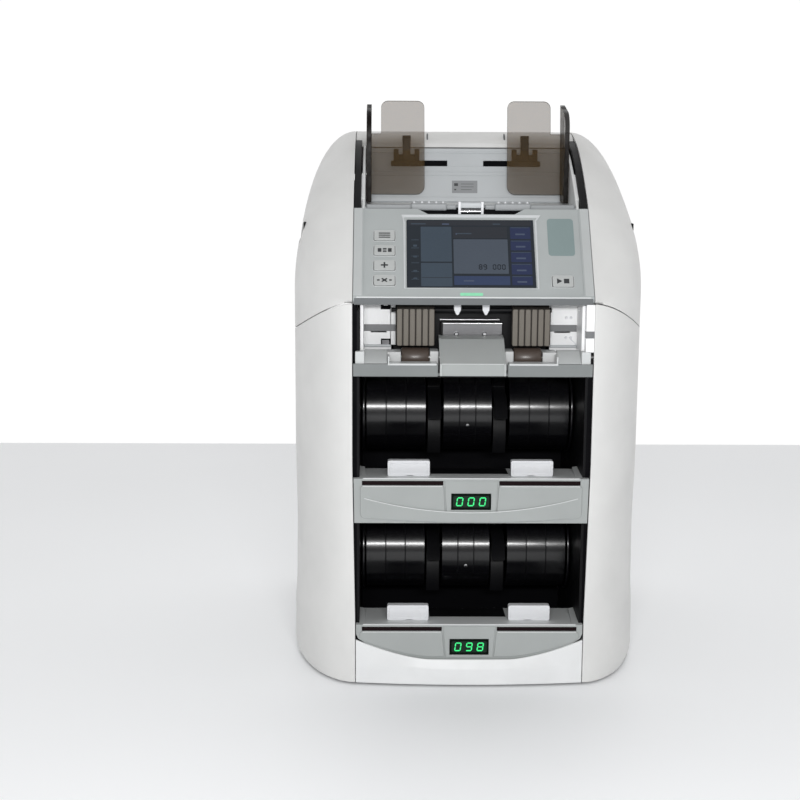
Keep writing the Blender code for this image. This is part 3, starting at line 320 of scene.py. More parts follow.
# Lighter than the panel grey: a painted highlight on the bezel's slopes.
BEZEL_HIGHLIGHT = moulded("bezel", (0.60, 0.62, 0.63), 0.26, grain=0.4, depth=0.015, specular=0.35)
SCREEN_BASE = tile("screen base", (0.018, 0.023, 0.030), 0.10)
SCREEN_DARK = tile("screen header", (0.026, 0.029, 0.036), 0.10)
SCREEN_LIST = tile("screen list", (0.042, 0.058, 0.078), 0.18)
SCREEN_VALUE = tile("screen value", (0.058, 0.071, 0.092), 0.18)
SCREEN_BLUE = tile("screen button", (0.020, 0.027, 0.066), 0.22)
SCREEN_BAR = tile("screen bar", (0.030, 0.044, 0.090), 0.22)
SCREEN_MARK = tile("screen mark", (0.055, 0.070, 0.110), 0.25)
SCREEN_INK = tile("screen figures", (0.012, 0.015, 0.020), 0.1)

# ------------------------------------------------------------------------------------------------ mesh helpers


def box(x, y, z):
    """A bmesh box between pairs of limits."""
    made = bmesh.new()
    bmesh.ops.create_cube(made, size=1.0)
    bmesh.ops.scale(made, vec=(x[1] - x[0], y[1] - y[0], z[1] - z[0]), verts=made.verts)
    centre = ((x[0] + x[1]) / 2, (y[0] + y[1]) / 2, (z[0] + z[1]) / 2)
    bmesh.ops.translate(made, vec=centre, verts=made.verts)
    return made


def rod(start, end, radius, end_radius=None, sides=32):
    """A bmesh cylinder or cone between two points."""
    start, end = Vector(start), Vector(end)
    made = bmesh.new()
    along = end - start
    bmesh.ops.create_cone(
        made,
        cap_ends=True,
        segments=sides,
        radius1=radius,
        radius2=radius if end_radius is None else end_radius,
        depth=along.length,
    )
    turn = along.to_track_quat("Z", "Y").to_matrix().to_4x4()
    bmesh.ops.transform(made, matrix=Matrix.Translation((start + end) / 2) @ turn, verts=made.verts)
    return made


def prism(outline, low, high, plane="XZ"):
    """An outline in one plane, extruded between two limits along the axis that the plane leaves out."""

    def corner(first, second, along):
        if plane == "YZ":
            return along, first, second
        if plane == "XZ":
            return first, along, second
        return first, second, along

    made = bmesh.new()
    near = [made.verts.new(corner(a, b, low)) for a, b in outline]
    far = [made.verts.new(corner(a, b, high)) for a, b in outline]
    made.faces.new(near)
    made.faces.new(far[::-1])
    for i in range(len(outline)):
        j = (i + 1) % len(outline)
        made.faces.new((near[j], near[i], far[i], far[j]))
    bmesh.ops.recalc_face_normals(made, faces=made.faces)
    return made


def turned(profile, centre, axis="Z", sides=48):
    """A profile of (radius, along) points turned round an axis through centre. It closes on the axis or on itself."""
    made = bmesh.new()
    rings = []
    for radius, along in profile:
        ring = []
        for i in range(sides):
            angle = 2 * math.pi * i / sides
            across, up = radius * math.cos(angle), radius * math.sin(angle)
            spot = (across, up, along) if axis == "Z" else (along, across, up) if axis == "X" else (across, along, up)
            ring.append(made.verts.new(Vector(spot) + Vector(centre)))
        rings.append(ring)
    for ring, following in zip(rings, rings[1:]):
        for i in range(sides):
            j = (i + 1) % sides
            made.faces.new((ring[i], ring[j], following[j], following[i]))
    for ring in (rings[0], rings[-1]):
        made.faces.new(ring)
    bmesh.ops.recalc_face_normals(made, faces=made.faces)
    if made.calc_volume(signed=True) < 0:
        bmesh.ops.reverse_faces(made, faces=made.faces)
    return made


def joined(*meshes):
    """Several bmeshes as one, each of them a separate island."""
    made = meshes[0]
    for extra in meshes[1:]:
        held = bpy.data.meshes.new("joined")
        extra.to_mesh(held)
        extra.free()
        made.from_mesh(held)
        bpy.data.meshes.remove(held)
    return made


def moved(mesh, matrix):
    bmesh.ops.transform(mesh, matrix=matrix, verts=mesh.verts)
    return mesh


def arc(centre, radius, start, end, steps):
    """Points along an arc, angles in degrees."""
    points = []
    for i in range(steps + 1):
        angle = math.radians(start + (end - start) * i / steps)
        points.append((centre[0] + radius * math.cos(angle), centre[1] + radius * math.sin(angle)))
    return points


def rounded(x, y, radius, steps=5):
    """The outline of a rectangle with round corners."""
    return (
        arc((x[1] - radius, y[1] - radius), radius, 0, 90, steps)
        + arc((x[0] + radius, y[1] - radius), radius, 90, 180, steps)
        + arc((x[0] + radius, y[0] + radius), radius, 180, 270, steps)
        + arc((x[1] - radius, y[0] + radius), radius, 270, 360, steps)
    )


def mirrored(points):
    return [(-x, y) for x, y in points]


ON_PANEL = Matrix.Translation((0, FRONT, PANEL_Z)) @ Matrix.Rotation(math.pi / 2 - PANEL_LEAN, 4, "X")


def finished(name, mesh, finish, body, bevel=0.0, segments=2, smooth=35.0, replaces=()):
    """Makes a piece of a bmesh in millimetres: rounds its edges, shades it, and hangs it on its body."""
    bmesh.ops.scale(mesh, vec=(MM, MM, MM), verts=mesh.verts)
    data = bpy.data.meshes.new(name)
    mesh.to_mesh(data)
    mesh.free()
    data.materials.append(finish)
    data.shade_smooth()
    data.set_sharp_from_angle(angle=math.radians(179 if bevel else smooth))
    piece = bpy.data.objects.new(name, data)
    bpy.context.scene.collection.objects.link(piece)
    if bevel:
        edges = piece.modifiers.new("rounded edges", "BEVEL")
        edges.width = bevel * MM
        edges.segments = segments
        edges.limit_method = "ANGLE"
        edges.angle_limit = math.radians(smooth)
        shading = piece.modifiers.new("flat faces stay flat", "WEIGHTED_NORMAL")
        shading.weight = 90
    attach(piece, body)
    if replaces:
        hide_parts(*replaces)
    return piece


def body_of(node):
    return next(body for body, nodes in frame["record"]["behaviour"]["bodies"].items() if node in nodes)


def cad_mesh(node):
    """A CAD node's mesh in millimetres, its triangles merged into flat faces."""
    made = bmesh.new()
    made.from_mesh(frame["nodes"][node].data)
    bmesh.ops.remove_doubles(made, verts=made.verts, dist=2e-6)
    flat = math.radians(0.5)
    bmesh.ops.dissolve_limit(made, angle_limit=flat, verts=made.verts, edges=made.edges, delimit=set())
    bmesh.ops.scale(made, vec=(1 / MM,) * 3, verts=made.verts)
    return made


def refined(node, finish, bevel=0.5, segments=2, smooth=35.0):
    """The CAD node's own form with rounded edges and its finish."""
    return finished(node + "_finished", cad_mesh(node), finish, body_of(node), bevel, segments, smooth, (node,))


def carved(mesh, *tools):
    """The bmesh with bmesh tools cut out of it, one after another."""
    for tool in tools:
        pair = []
        for label, source in (("target", mesh), ("cutter", tool)):
            data = bpy.data.meshes.new(label)
            source.to_mesh(data)
            source.free()
            pair.append(bpy.data.objects.new(label, data))
            bpy.context.scene.collection.objects.link(pair[-1])
        step = pair[0].modifiers.new("cut", "BOOLEAN")
        step.object = pair[1]
        step.solver = "EXACT"
        graph = bpy.context.evaluated_depsgraph_get()
        result = bpy.data.meshes.new_from_object(pair[0].evaluated_get(graph))
        for used in pair:
            bpy.data.objects.remove(used, do_unlink=True)
        mesh = bmesh.new()
        mesh.from_mesh(result)
        bpy.data.meshes.remove(result)
    return mesh


def ring(*loops):
    """A closed ring through loops of 3D points with as many points each, the last loop joined to the first."""
    made = bmesh.new()
    rows = [[made.verts.new(point) for point in loop] for loop in loops]
    for row, following in zip(rows, rows[1:] + rows[:1]):
        for i in range(len(row)):
            j = (i + 1) % len(row)
            made.faces.new((row[i], row[j], following[j], following[i]))
    bmesh.ops.recalc_face_normals(made, faces=made.faces)
    if made.calc_volume(signed=True) < 0:
        bmesh.ops.reverse_faces(made, faces=made.faces)
    return made


def skin(rows, thickness, side=1, clear=None):
    """A thickened surface through rows of points. side -1 mirrors it.

    clear gives the distance from the middle plane that the surface keeps at a height.
    """
    if side < 0:
        rows = [[(-x, y, z) for x, y, z in reversed(row)] for row in rows]
    made = bmesh.new()
    grid = [[made.verts.new(point) for point in row] for row in rows]
    for low, high in zip(grid, grid[1:]):
        for i in range(len(low) - 1):
            made.faces.new((low[i], low[i + 1], high[i + 1], high[i]))
    data = bpy.data.meshes.new("skin")
    made.to_mesh(data)
    made.free()
    sheet = bpy.data.objects.new("skin", data)
    bpy.context.scene.collection.objects.link(sheet)
    wall = sheet.modifiers.new("wall", "SOLIDIFY")
    wall.thickness = thickness
    wall.offset = -1.0
    wall.use_even_offset = True
    graph = bpy.context.evaluated_depsgraph_get()
    result = bpy.data.meshes.new_from_object(sheet.evaluated_get(graph))
    bpy.data.objects.remove(sheet, do_unlink=True)
    made = bmesh.new()
    made.from_mesh(result)
    bpy.data.meshes.remove(result)
    if clear:
        for corner in made.verts:
            corner.co.x = math.copysign(max(abs(corner.co.x), clear(corner.co.z)), corner.co.x)
    return made


def both(side, low, high):
    """A pair of x limits on one side of the middle plane, in rising order."""
    return tuple(sorted((side * low, side * high)))


# ------------------------------------------------------------------------------------------------ shells

PANEL_TOP_Y = FRONT + PANEL_LENGTH * math.sin(PANEL_LEAN)
PANEL_TOP_Z = PANEL_Z + PANEL_LENGTH * math.cos(PANEL_LEAN)


def opening_at(z):
    """Half width of the front opening at a height."""
    share = min(1.0, max(0.0, (z - FLARE_Z[0]) / (FLARE_Z[1] - FLARE_Z[0])))
    return OPENING + (UPPER_OPENING - OPENING) * share


def inner_share(half):
    """1 at the rim of the opening, 0 at the shells' full width."""
    return (HALF_WIDTH - half) / (HALF_WIDTH - OPENING)


def plan(first_angle=0.0, sweep_steps=22, rest_steps=22):
    """(y, half width) pairs of a side shell from its front edge to its rear edge."""
    pairs = []
    for i in range(sweep_steps + 1):
        angle = first_angle + (math.pi / 2 - first_angle) * i / sweep_steps
        back = 1 - max(0.0, math.cos(angle)) ** (2 / SWEEP_POWER)
        out = math.sin(angle) ** (2 / SWEEP_POWER)
        pairs.append((FRONT + SWEEP * back, OPENING + (HALF_WIDTH - OPENING) * out))
    start = FRONT + SWEEP
    for i in range(1, rest_steps + 1):
        y = start + (REAR - start) * i / rest_steps
        taper = max(0.0, (y - 60.0) / (REAR - 60.0))
        pairs.append((y, HALF_WIDTH - (HALF_WIDTH - REAR_HALF_WIDTH) * taper**2))
    return pairs


def seam_z(y):
    share = max(0.0, (REAR - y) / (REAR - FRONT))
    return SEAM_REAR_Z + (SEAM_FRONT_Z - SEAM_REAR_Z) * share**SEAM_POWER


def top_z(y):
    """Height of the upper shells' inner edge: up the panel, over the crest and down at the rear."""
    if y <= PANEL_TOP_Y:
        return PANEL_Z + (y - FRONT) / math.tan(PANEL_LEAN)
    rise_end, fall_start, fall = 50.0, 95.0, 62.0
    if y <= rise_end:
        share = (y - PANEL_TOP_Y) / (rise_end - PANEL_TOP_Y)
        return CREST_Z - (CREST_Z - PANEL_TOP_Z) * (1 - share) ** 2
    over = max(0.0, (y - fall_start) / (REAR - fall_start))
    return CREST_Z - fall * (1 - math.sqrt(1 - 0.9 * over**2))


def wall_levels(steps=4):
    """(height, outward offset) pairs of the lower shell, eased between the rows of WALL_PROFILE."""
    levels = [WALL_PROFILE[0]]
    for (low, before), (high, after) in zip(WALL_PROFILE, WALL_PROFILE[1:]):
        for i in range(1, steps + 1):
            share = i / steps
            eased = share if low < 6 else share * share * (3 - 2 * share)
            levels.append((low + (high - low) * share, before + (after - before) * eased))
    return levels


def lower_shell(side, hand):
    rows = []
    last = WALL_PROFILE[-1][0]
    for height, offset in wall_levels():
        flare = opening_at(height) - OPENING
        row = []
        for y, half in plan():
            share = inner_share(half)
            row.append((half + offset * (1 - share) + flare * share, y, height))
        rows.append(row)
    flare = UPPER_OPENING - OPENING
    for i in range(1, 7):
        row = []
        for y, half in plan():
            z = last + (seam_z(y) - SEAM_GAP / 2 - last) * i / 6
            row.append((half + flare * inner_share(half), y, z))
        rows.append(row)
    mesh = skin(rows, SHELL, side, opening_at)
    node = "lower_shell_" + hand
    finished(node + "_skin", mesh, SHELL_WHITE, "base", 0.7, 3, replaces=(node,))


def upper_shell(side, hand):
    """Each cross-section runs straight up from the seam, then over to the inner edge beside the panel."""
    straight, power, steps = 0.25, 2.05, 26
    columns = []
    for y, half in plan(math.radians(9)):
        half += (UPPER_OPENING - OPENING) * inner_share(half)
        low = seam_z(y) + SEAM_GAP / 2
        shoulder = low + (top_z(y) - low) * straight
        column = [(half, y, low), (half, y, (low + shoulder) / 2)]
        for i in range(steps + 1):
            angle = math.pi / 2 * i / steps
            x = UPPER_OPENING + (half - UPPER_OPENING) * max(0.0, math.cos(angle)) ** (2 / power)
            z = shoulder + (top_z(y) - shoulder) * math.sin(angle) ** (2 / power)
            column.append((x, y, z))
        columns.append(column)
    mesh = skin([list(row) for row in zip(*columns)], SHELL, side, opening_at)
    mesh = carved(mesh, box(both(side, 130, 170), GRIP_Y, GRIP_Z))
    node = "upper_shell_" + hand
    finished(node + "_skin", mesh, SHELL_WHITE, "upper_unit", 0.7, 3, replaces=(node,))
    # The grip recess is lined in black: painted shade inside it.
    pocket = box(both(side, 129, 149), (GRIP_Y[0] - 1.5, GRIP_Y[1] + 1.5), (GRIP_Z[0] - 1.5, GRIP_Z[1] + 1.5))
    pocket = carved(pocket, box(both(side, 131, 160), GRIP_Y, GRIP_Z))
    finished("grip_recess_shade_" + hand, pocket, SATIN_BLACK, "upper_unit", 0.5)


for hand_side, hand_name in HANDS:
    lower_shell(hand_side, hand_name)
    upper_shell(hand_side, hand_name)


def cover_top(x):
    """Upper edge of the front base cover: low and flat in the middle, rising to the corners."""
    share = max(0.0, (abs(x) - ARC_FLAT) / (OPENING - ARC_FLAT))
    return 24.5 + 17.5 * share**1.6


def base_cover():
    """The cover's face stands upright to a soft crease and leans back above it."""
    half, columns, foot = OPENING - 0.5, 56, 2.0
    rows = []
    for level in (0.0, 0.3, 0.7, 0.94, 1.06, 1.2, 1.4, 1.6, 1.8, 2.0):
        row = []
        for i in range(columns + 1):
            x = -half + 2 * half * i / columns
            crease = 16.0 + 3.5 * (x / half) ** 2
            top = cover_top(x)
            upper = max(0.0, level - 1.0)
            z = foot + (crease - foot) * min(level, 1.0) + (top - crease) * upper
            forward = BULGE * (1 - (x / half) ** 2) * (1 - 0.65 * upper)
            row.append((x, FRONT - forward, z))
        rows.append(row)
    mesh = skin(rows, 2.5)
    finished("front_base_cover_skin", mesh, COVER_WHITE, "base", 0.5, 2, replaces=("front_base_cover",))


base_cover()
refined("top_cover", SHELL_WHITE, 0.8, 3)
refined("rear_cover", SHELL_WHITE, 0.6)
refined("upper_rear_cover", SHELL_WHITE, 0.5)
refined("side_frame_left", FRAME_BLACK, 0.3)
refined("side_frame_right", FRAME_BLACK, 0.3)
refined("base_plate", STEEL, 0.4)
refined("rear_bulkhead", BLACK_AND_OPENING_SHADE, 0.3)
refined("hinge_pin", SATIN_BLACK, 0.3)

for foot_name in ("front_left", "front_right", "rear_left", "rear_right"):
    foot_x, foot_y, foot_z = middle("foot_" + foot_name)
    foot_profile = [(0.01, 0.9), (5.2, 0.9), (5.4, 0.0), (8.6, 0.0), (9.0, 0.5), (9.0, 3.0), (8.4, 3.7), (0.01, 3.7)]
    disc = turned(foot_profile, (foot_x, foot_y, 0.0))
    finished("foot_pad_" + foot_name, disc, RUBBER, "base", replaces=("foot_" + foot_name,))

# ------------------------------------------------------------------------------------------------ stacker pockets

SEGMENTS = {  # the lit strokes of a digit: (across, up) of each end, as shares of its width and height
    "top": ((0, 1), (1, 1)),
    "middle": ((0, 0.5), (1, 0.5)),
    "bottom": ((0, 0), (1, 0)),
    "upper_left": ((0, 0.5), (0, 1)),
    "lower_left": ((0, 0), (0, 0.5)),
    "upper_right": ((1, 0.5), (1, 1)),
    "lower_right": ((1, 0), (1, 0.5)),
}
LIT = {
    "0": ("top", "bottom", "upper_left", "lower_left", "upper_right", "lower_right"),
    "8": tuple(SEGMENTS),
    "9": ("top", "middle", "bottom", "upper_left", "upper_right", "lower_right"),
}


def stroke(start, end, width):
    """The outline of a straight stroke with pointed ends, a little shorter than the distance between its ends."""
    start, end = Vector(start), Vector(end)
    along = (end - start).normalized()
    across = Vector((-along.y, along.x)) * width / 2
    start, end = start + along * width * 0.12, end - along * width * 0.12
    inner_start, inner_end = start + along * width / 2, end - along * width / 2
    lower_edge = [inner_start - across, inner_end - across]
    upper_edge = [inner_end + across, inner_start + across]
    return [tuple(point) for point in [start] + lower_edge + [end] + upper_edge]


def digits(label, shown):
    """Slanted seven-segment digits in the tray's window, over a dark window with the digits' green glow painted on a
    plate behind them.
    """
    tall, wide, pitch, width, slant = 7.0, 4.8, 9.9, 1.0, 0.14
    base_z = TRAY_TOPS[label] - 11.4 - 7.4 - tall / 2
    pieces = []
    for place, digit in enumerate(shown):
        left = (place - 1) * pitch - wide / 2
        for name in LIT[digit]:
            ends = [(left + a * wide + slant * (b - 0.5) * tall, base_z + b * tall) for a, b in SEGMENTS[name]]
            pieces.append(prism(stroke(*ends, width), FRONT + 0.42, FRONT + 0.75))
    finished("digits_" + label, joined(*pieces), LED_GREEN, "base")
    window_z = (TRAY_TOPS[label] - 26.0, TRAY_TOPS[label] - 11.6)
    glass = box((-17.2, 17.2), (FRONT + 0.65, FRONT + 3.0), window_z)
    finished("display_glass_" + label, glass, GLASS_BLACK, "base", 0.3, replaces=("display_" + label,))
    # A green-tinted plate in the window: painted glow spilling from the digits.
    glow_spill = prism(rounded((-15.6, 15.8), (base_z - 1.6, base_z + tall + 1.6), 1.5), FRONT + 0.55, FRONT + 0.7)
    finished("display_glow_spill_" + label, glow_spill, DIGIT_GLOW_SPILL, "base")


def fascia_bottom(label, x):
    if label == "lower":
        return cover_top(x) + 0.8
    return 148.6 + 4.2 * (x / 97.0) ** 2


def fascia(label):
    """The tray's front plate: slits, a middle block with the window, and two wings with a raised apron below."""
    top = TRAY_TOPS[label]
    foot_z = {"upper": 148.2, "lower": 42.6}[label]
    half = opening_at(foot_z) - 0.7
    steps = 30
    across = [-half + 2 * half * i / steps for i in range(steps + 1)]
    if label == "upper":
        foot = [(x, foot_z) for x in across]
    else:
        corner_x, corner_z = half - 1.8, 47.0  # the cut corners
        foot = [(-half, corner_z), (-half + 1.8, foot_z)] + [(x, cover_top(x) - 1.5) for x in across[2:-2]]
        foot += [(corner_x, foot_z), (half, corner_z)]
    edge = opening_at(top) - 0.7
    plate = prism(foot + [(edge, top + 1.6), (-edge, top + 1.6)], FRONT + 1.1, FRONT + 3.5)
    window = box((-17.4, 17.4), (FRONT - 3, FRONT + 6), (top - 26.2, top - 11.4))
    slits = [box(both(side, 24.4, 95.0), (FRONT - 3, FRONT + 3.2), (top - 4.4, top - 0.3)) for side in (-1, 1)]
    plate = carved(plate, window, *slits)
    finished("tray_plate_" + label, plate, TRAY_GREY, "base", 0.45, 3, replaces=("tray_" + label,))

    rail = box((-95.4, 95.4), (FRONT - 0.1, FRONT + 1.6), (top - 0.3, top + 2.2))
    finished("tray_rail_" + label, rail, TRAY_GREY, "base", 0.7, 3)
    # A light strip along the rail's top edge: a painted highlight.
    rail_highlight = box((-94.0, 94.0), (FRONT - 0.25, FRONT + 2.4), (top + 1.5, top + 2.4))
    finished("tray_rail_highlight_" + label, rail_highlight, EDGE_HIGHLIGHT, "base", 0.3)
    block_low = top - 37.0 if label == "upper" else top - 28.4
    block = [(-22.9, top - 0.1), (-20.9, block_low), (20.9, block_low), (22.9, top - 0.1)]
    block = prism(block, FRONT, FRONT + 1.8)
    block = carved(block, box((-17.4, 17.4), (FRONT - 3, FRONT + 6), (top - 26.2, top - 11.4)))
    finished("tray_block_" + label, block, TRAY_GREY, "base", 0.4, 2)

    for side, hand in HANDS:
        slit_back = box(both(side, 24.0, 95.6), (FRONT + 2.0, FRONT + 3.4), (top - 4.8, top + 0.1))
        finished(f"tray_slit_{label}_{hand}", slit_back, SENSOR_RED, "base")
        # A light strip along each slit's lower lip: a painted highlight.
        slit_highlight = box(both(side, 25.0, 94.6), (FRONT - 0.2, FRONT + 1.2), (top - 5.4, top - 4.6))
        finished(f"tray_slit_highlight_{label}_{hand}", slit_highlight, EDGE_HIGHLIGHT, "base", 0.3)
        wing_x = [23.9 + (96.6 - 23.9) * i / 20 for i in range(21)]
        if label == "upper":
            rim = [(x, fascia_bottom(label, x)) for x in wing_x]
            rim[0] = (21.9, rim[0][1])
            rim[-1] = (95.0, rim[-1][1] + 0.6)
            rim.append((96.6, rim[-1][1] + 2.4))
        else:
            rim = [(x, fascia_bottom(label, x) + 0.7) for x in wing_x if x < 94.5]
            rim[0] = (21.9, rim[0][1])
            rim.append((97.0, rim[-1][1] + 3.4))
        corner = rim[-1][0]
        outline = rim + [(corner, top - 6.2), (corner - 1.4, top - 4.7), (24.6, top - 4.7), (23.9, top - 5.8)]
        if side < 0:
            outline = mirrored(outline)
        finished(f"tray_wing_{label}_{hand}", prism(outline, FRONT - 0.1, FRONT + 1.6), TRAY_GREY, "base", 0.8, 3)

    deck(label, top)


def deck(label, top):
    """The sloping floor behind the front plate, with its side wings and a thin black sheet under the drums as painted
    shade.
    """
    near, far, drop = FRONT + 3.0, FRONT + 62.0, 4.6

    def surface(y):
        return top + 1.2 - drop * (y - near) / (far - near)

    side_view = [(near, top - 4), (far, top - 9.5), (far, surface(far)), (near, surface(near))]
    floor = prism(side_view, -INSIDE, INSIDE, "YZ")
    slots = []
    for side in (-1, 1):
        slots.append(box(both(side, 49.3, 56.7), (FRONT + 16.5, FRONT + 38.5), (top - 20, top + 5)))
    floor = carved(floor, *slots)
    finished("deck_" + label, floor, DECK_GREY, "base", 0.3)
    if label == "upper":
        roof = box((-INSIDE, INSIDE), (FRONT + 3.2, FRONT + 108.0), (148.3, 150.7))
        finished("pocket_roof_lower", roof, SATIN_BLACK, "base", 0.4)
    outer = opening_at(top) - 0.6
    for side, hand in HANDS:
        upper = [
            (side * outer, FRONT + 1.5, top + 1.6),
            (side * 91.0, FRONT + 3.0, top + 1.6),
            (side * 93.0, FRONT + 46.0, top + 2.0),
            (side * outer, FRONT + 46.0, top + 3.6),
        ]
        lower = [(x, y, z - 4.5) for x, y, z in upper]
        wedge = bmesh.new()
        tops, feet = ([wedge.verts.new(point) for point in row] for row in (upper, lower))
        wedge.faces.new(tops)
        wedge.faces.new(feet[::-1])
        for i in range(4):
            j = (i + 1) % 4
            wedge.faces.new((tops[j], tops[i], feet[i], feet[j]))
        bmesh.ops.recalc_face_normals(wedge, faces=wedge.faces)
        finished(f"deck_wing_{label}_{hand}", wedge, WING_GREY, "base", 0.4)
    # A thin black sheet on the deck under the drums: painted shade.
    shade_front, shade_rear = FRONT + 30, far - 1
    corners = ((shade_front, 0.25), (shade_rear, 0.25), (shade_rear, -0.8), (shade_front, -0.8))
    shade_patch = [(y, surface(y) + lift) for y, lift in corners]
    finished("deck_shade_" + label, prism(shade_patch, -34.5, 34.5, "YZ"), SATIN_BLACK, "base", 0.2)


def apron():
    """The upper tray's apron: it stands proud below a shallow arc and fades out towards the ends."""
    columns, half = 60, 93.0
    rows = []
    for level in (0.0, 0.35, 0.8, 1.0):
        row = []
        for i in range(columns + 1):
            x = -half + 2 * half * i / columns
            share = x / half
            crest = 158.6 + 12.3 * share**2
            low = fascia_bottom("upper", x) + 0.8
            proud = 1.2 * (1 - share**4)
            row.append((x, FRONT - 0.1 - proud, low + (crest - low) * level))
        rows.append(row)
    finished("tray_apron", skin(rows, 1.5), TRAY_GREY, "base", 0.7, 3)
    # A light strip along the apron's crest: a painted highlight where the ridge catches light.
    crest_highlight = [[(x, y - 0.12, z + lift) for x, y, z in rows[-1]] for lift in (-0.55, 0.05)]
    finished("tray_apron_highlight", skin(crest_highlight, 0.5), EDGE_HIGHLIGHT, "base")


def pads(label):
    """The white note stops: rounded blocks with a shallow panel in the front face."""
    for side, hand in HANDS:
        node = f"note_stop_{label}_{hand}"
        x, y, z = limits(node)
        stem_x = middle(node)[0]
        x = [edge + side * 1.2 for edge in x]
        foot = z[0] + 9.0
        block = prism(rounded(x, (foot, z[1]), 1.6), y[0], y[1])
        tray = prism(rounded((x[0] + 2.2, x[1] - 2.2), (foot + 2.0, z[1] - 2.4), 1.0), y[0] - 1, y[0] + 0.45)
        block = carved(block, tray)
        stem = box((stem_x - 3, stem_x + 3), y, (z[0], foot + 1))
        finished(node + "_pad", joined(block, stem), PAD_WHITE, node, 0.6, 3, replaces=(node,))


def drum(label):
    """Three glossy cover segments, each with two fine grooves, and rings at the two ends."""
    z = DRUM_Z[label]
    back = limits("drum_cover_" + label)[1][1]

    def band(x, radius, bore):
        loops = []
        for r, rear in ((radius, back), (bore, back - 1.5)):
            points = [(rear, z + r)] + arc((DRUM_Y, z), r, 90, 270, 56) + [(rear, z - r)]
            loops.append(points)
        return ring(
            [(x[0], a, b) for a, b in loops[0]],
            [(x[1], a, b) for a, b in loops[0]],
            [(x[1], a, b) for a, b in loops[1]],
            [(x[0], a, b) for a, b in loops[1]],
        )

    bands, liners = [], []
    for low, high in ((-92.0, -38.0), (-22.0, 22.0), (38.0, 92.0)):
        third, groove = (high - low) / 3, 0.35
        liners.append(band((low + 0.6, high - 0.6), DRUM_R - 0.5, DRUM_R - 2.0))
        for i in range(3):
            limits_x = (low + i * third + (groove if i else 0), low + (i + 1) * third - (groove if i < 2 else 0))
            bands.append(band(limits_x, DRUM_R, DRUM_R - 0.9))
    finished("drum_bands_" + label, joined(*bands), DRUM_BLACK, "base", 0.35, 2, 50, ("drum_cover_" + label,))
    finished("drum_liner_" + label, joined(*liners), GLOSS_BLACK, "base", smooth=50)
    rings = []
    for side in (-1, 1):
        rings.append(band(both(side, 93.4, 95.6), DRUM_R + 2.5, DRUM_R - 8.0))
    finished("drum_rings_" + label, joined(*rings), DRUM_BLACK, "base", 0.5, 2, 50)
    screw = turned([(0.01, -1.0), (1.9, -1.0), (1.9, 0.5), (1.3, 1.0), (0.01, 1.0)], (0, 0, 0), sides=24)
    slope = math.radians(-14.0)
    spot = (0.0, DRUM_Y - (DRUM_R - 0.2) * math.cos(slope), z + DRUM_R * math.sin(slope))
    turn = Matrix.Rotation(math.pi / 2 - slope, 4, "X")
    finished("drum_screw_" + label, moved(screw, Matrix.Translation(spot) @ turn), CHROME, "base", 0.15)


for pocket_label, number in (("upper", "000"), ("lower", "098")):
    fascia(pocket_label)
    digits(pocket_label, number)
    pads(pocket_label)
    drum(pocket_label)
    refined("stacker_shaft_" + pocket_label, SATIN_BLACK, 0.45)
apron()
for hand_side, hand_name in HANDS:
    rim_top = 289.0 if hand_side > 0 else 340.0
    rim_outline = [(99.6, 42.0), (opening_at(42.0) + 1.0, 42.0), (opening_at(200.0) + 1.0, 200.0)]
    rim_outline += [(opening_at(rim_top) + 1.0, rim_top), (99.6, rim_top)]
    if hand_side < 0:
        rim_outline = mirrored(rim_outline)
    rim_mesh = prism(rim_outline, FRONT + 5.5, FRONT + 9.0)
    finished("opening_return_" + hand_name, rim_mesh, BLACK_AND_OPENING_SHADE, "base", 0.3)

# A polished guide plate closes each pocket above the drums: under the reject floor and under the upper tray.
for plate_name, plate_z in (("upper", 276.2), ("lower", 146.9)):
    ceiling = box((-95.5, 95.5), (FRONT + 7.0, FRONT + 60.0), (plate_z, plate_z + 1.4))
    finished("pocket_ceiling_" + plate_name, ceiling, GLOSS_BLACK, "base", 0.6, 3)

refined("drive_motor", STEEL, 0.5)
refined("motor_pulley", STEEL, 0.3)
refined("drive_belt", RUBBER, 0.2)
refined("power_supply", PLATE_GREY, 0.6)
refined("diverter_gate", STEEL, 0.3)
refined("exit_guide", SATIN_BLACK, 0.3)

# ------------------------------------------------------------------------------------------------ reject pocket

LEDGE_LOW, LEDGE_HIGH = 278.0, 289.0
ROLLER_Y, ROLLER_Z = middle("reject_roller")[1:]


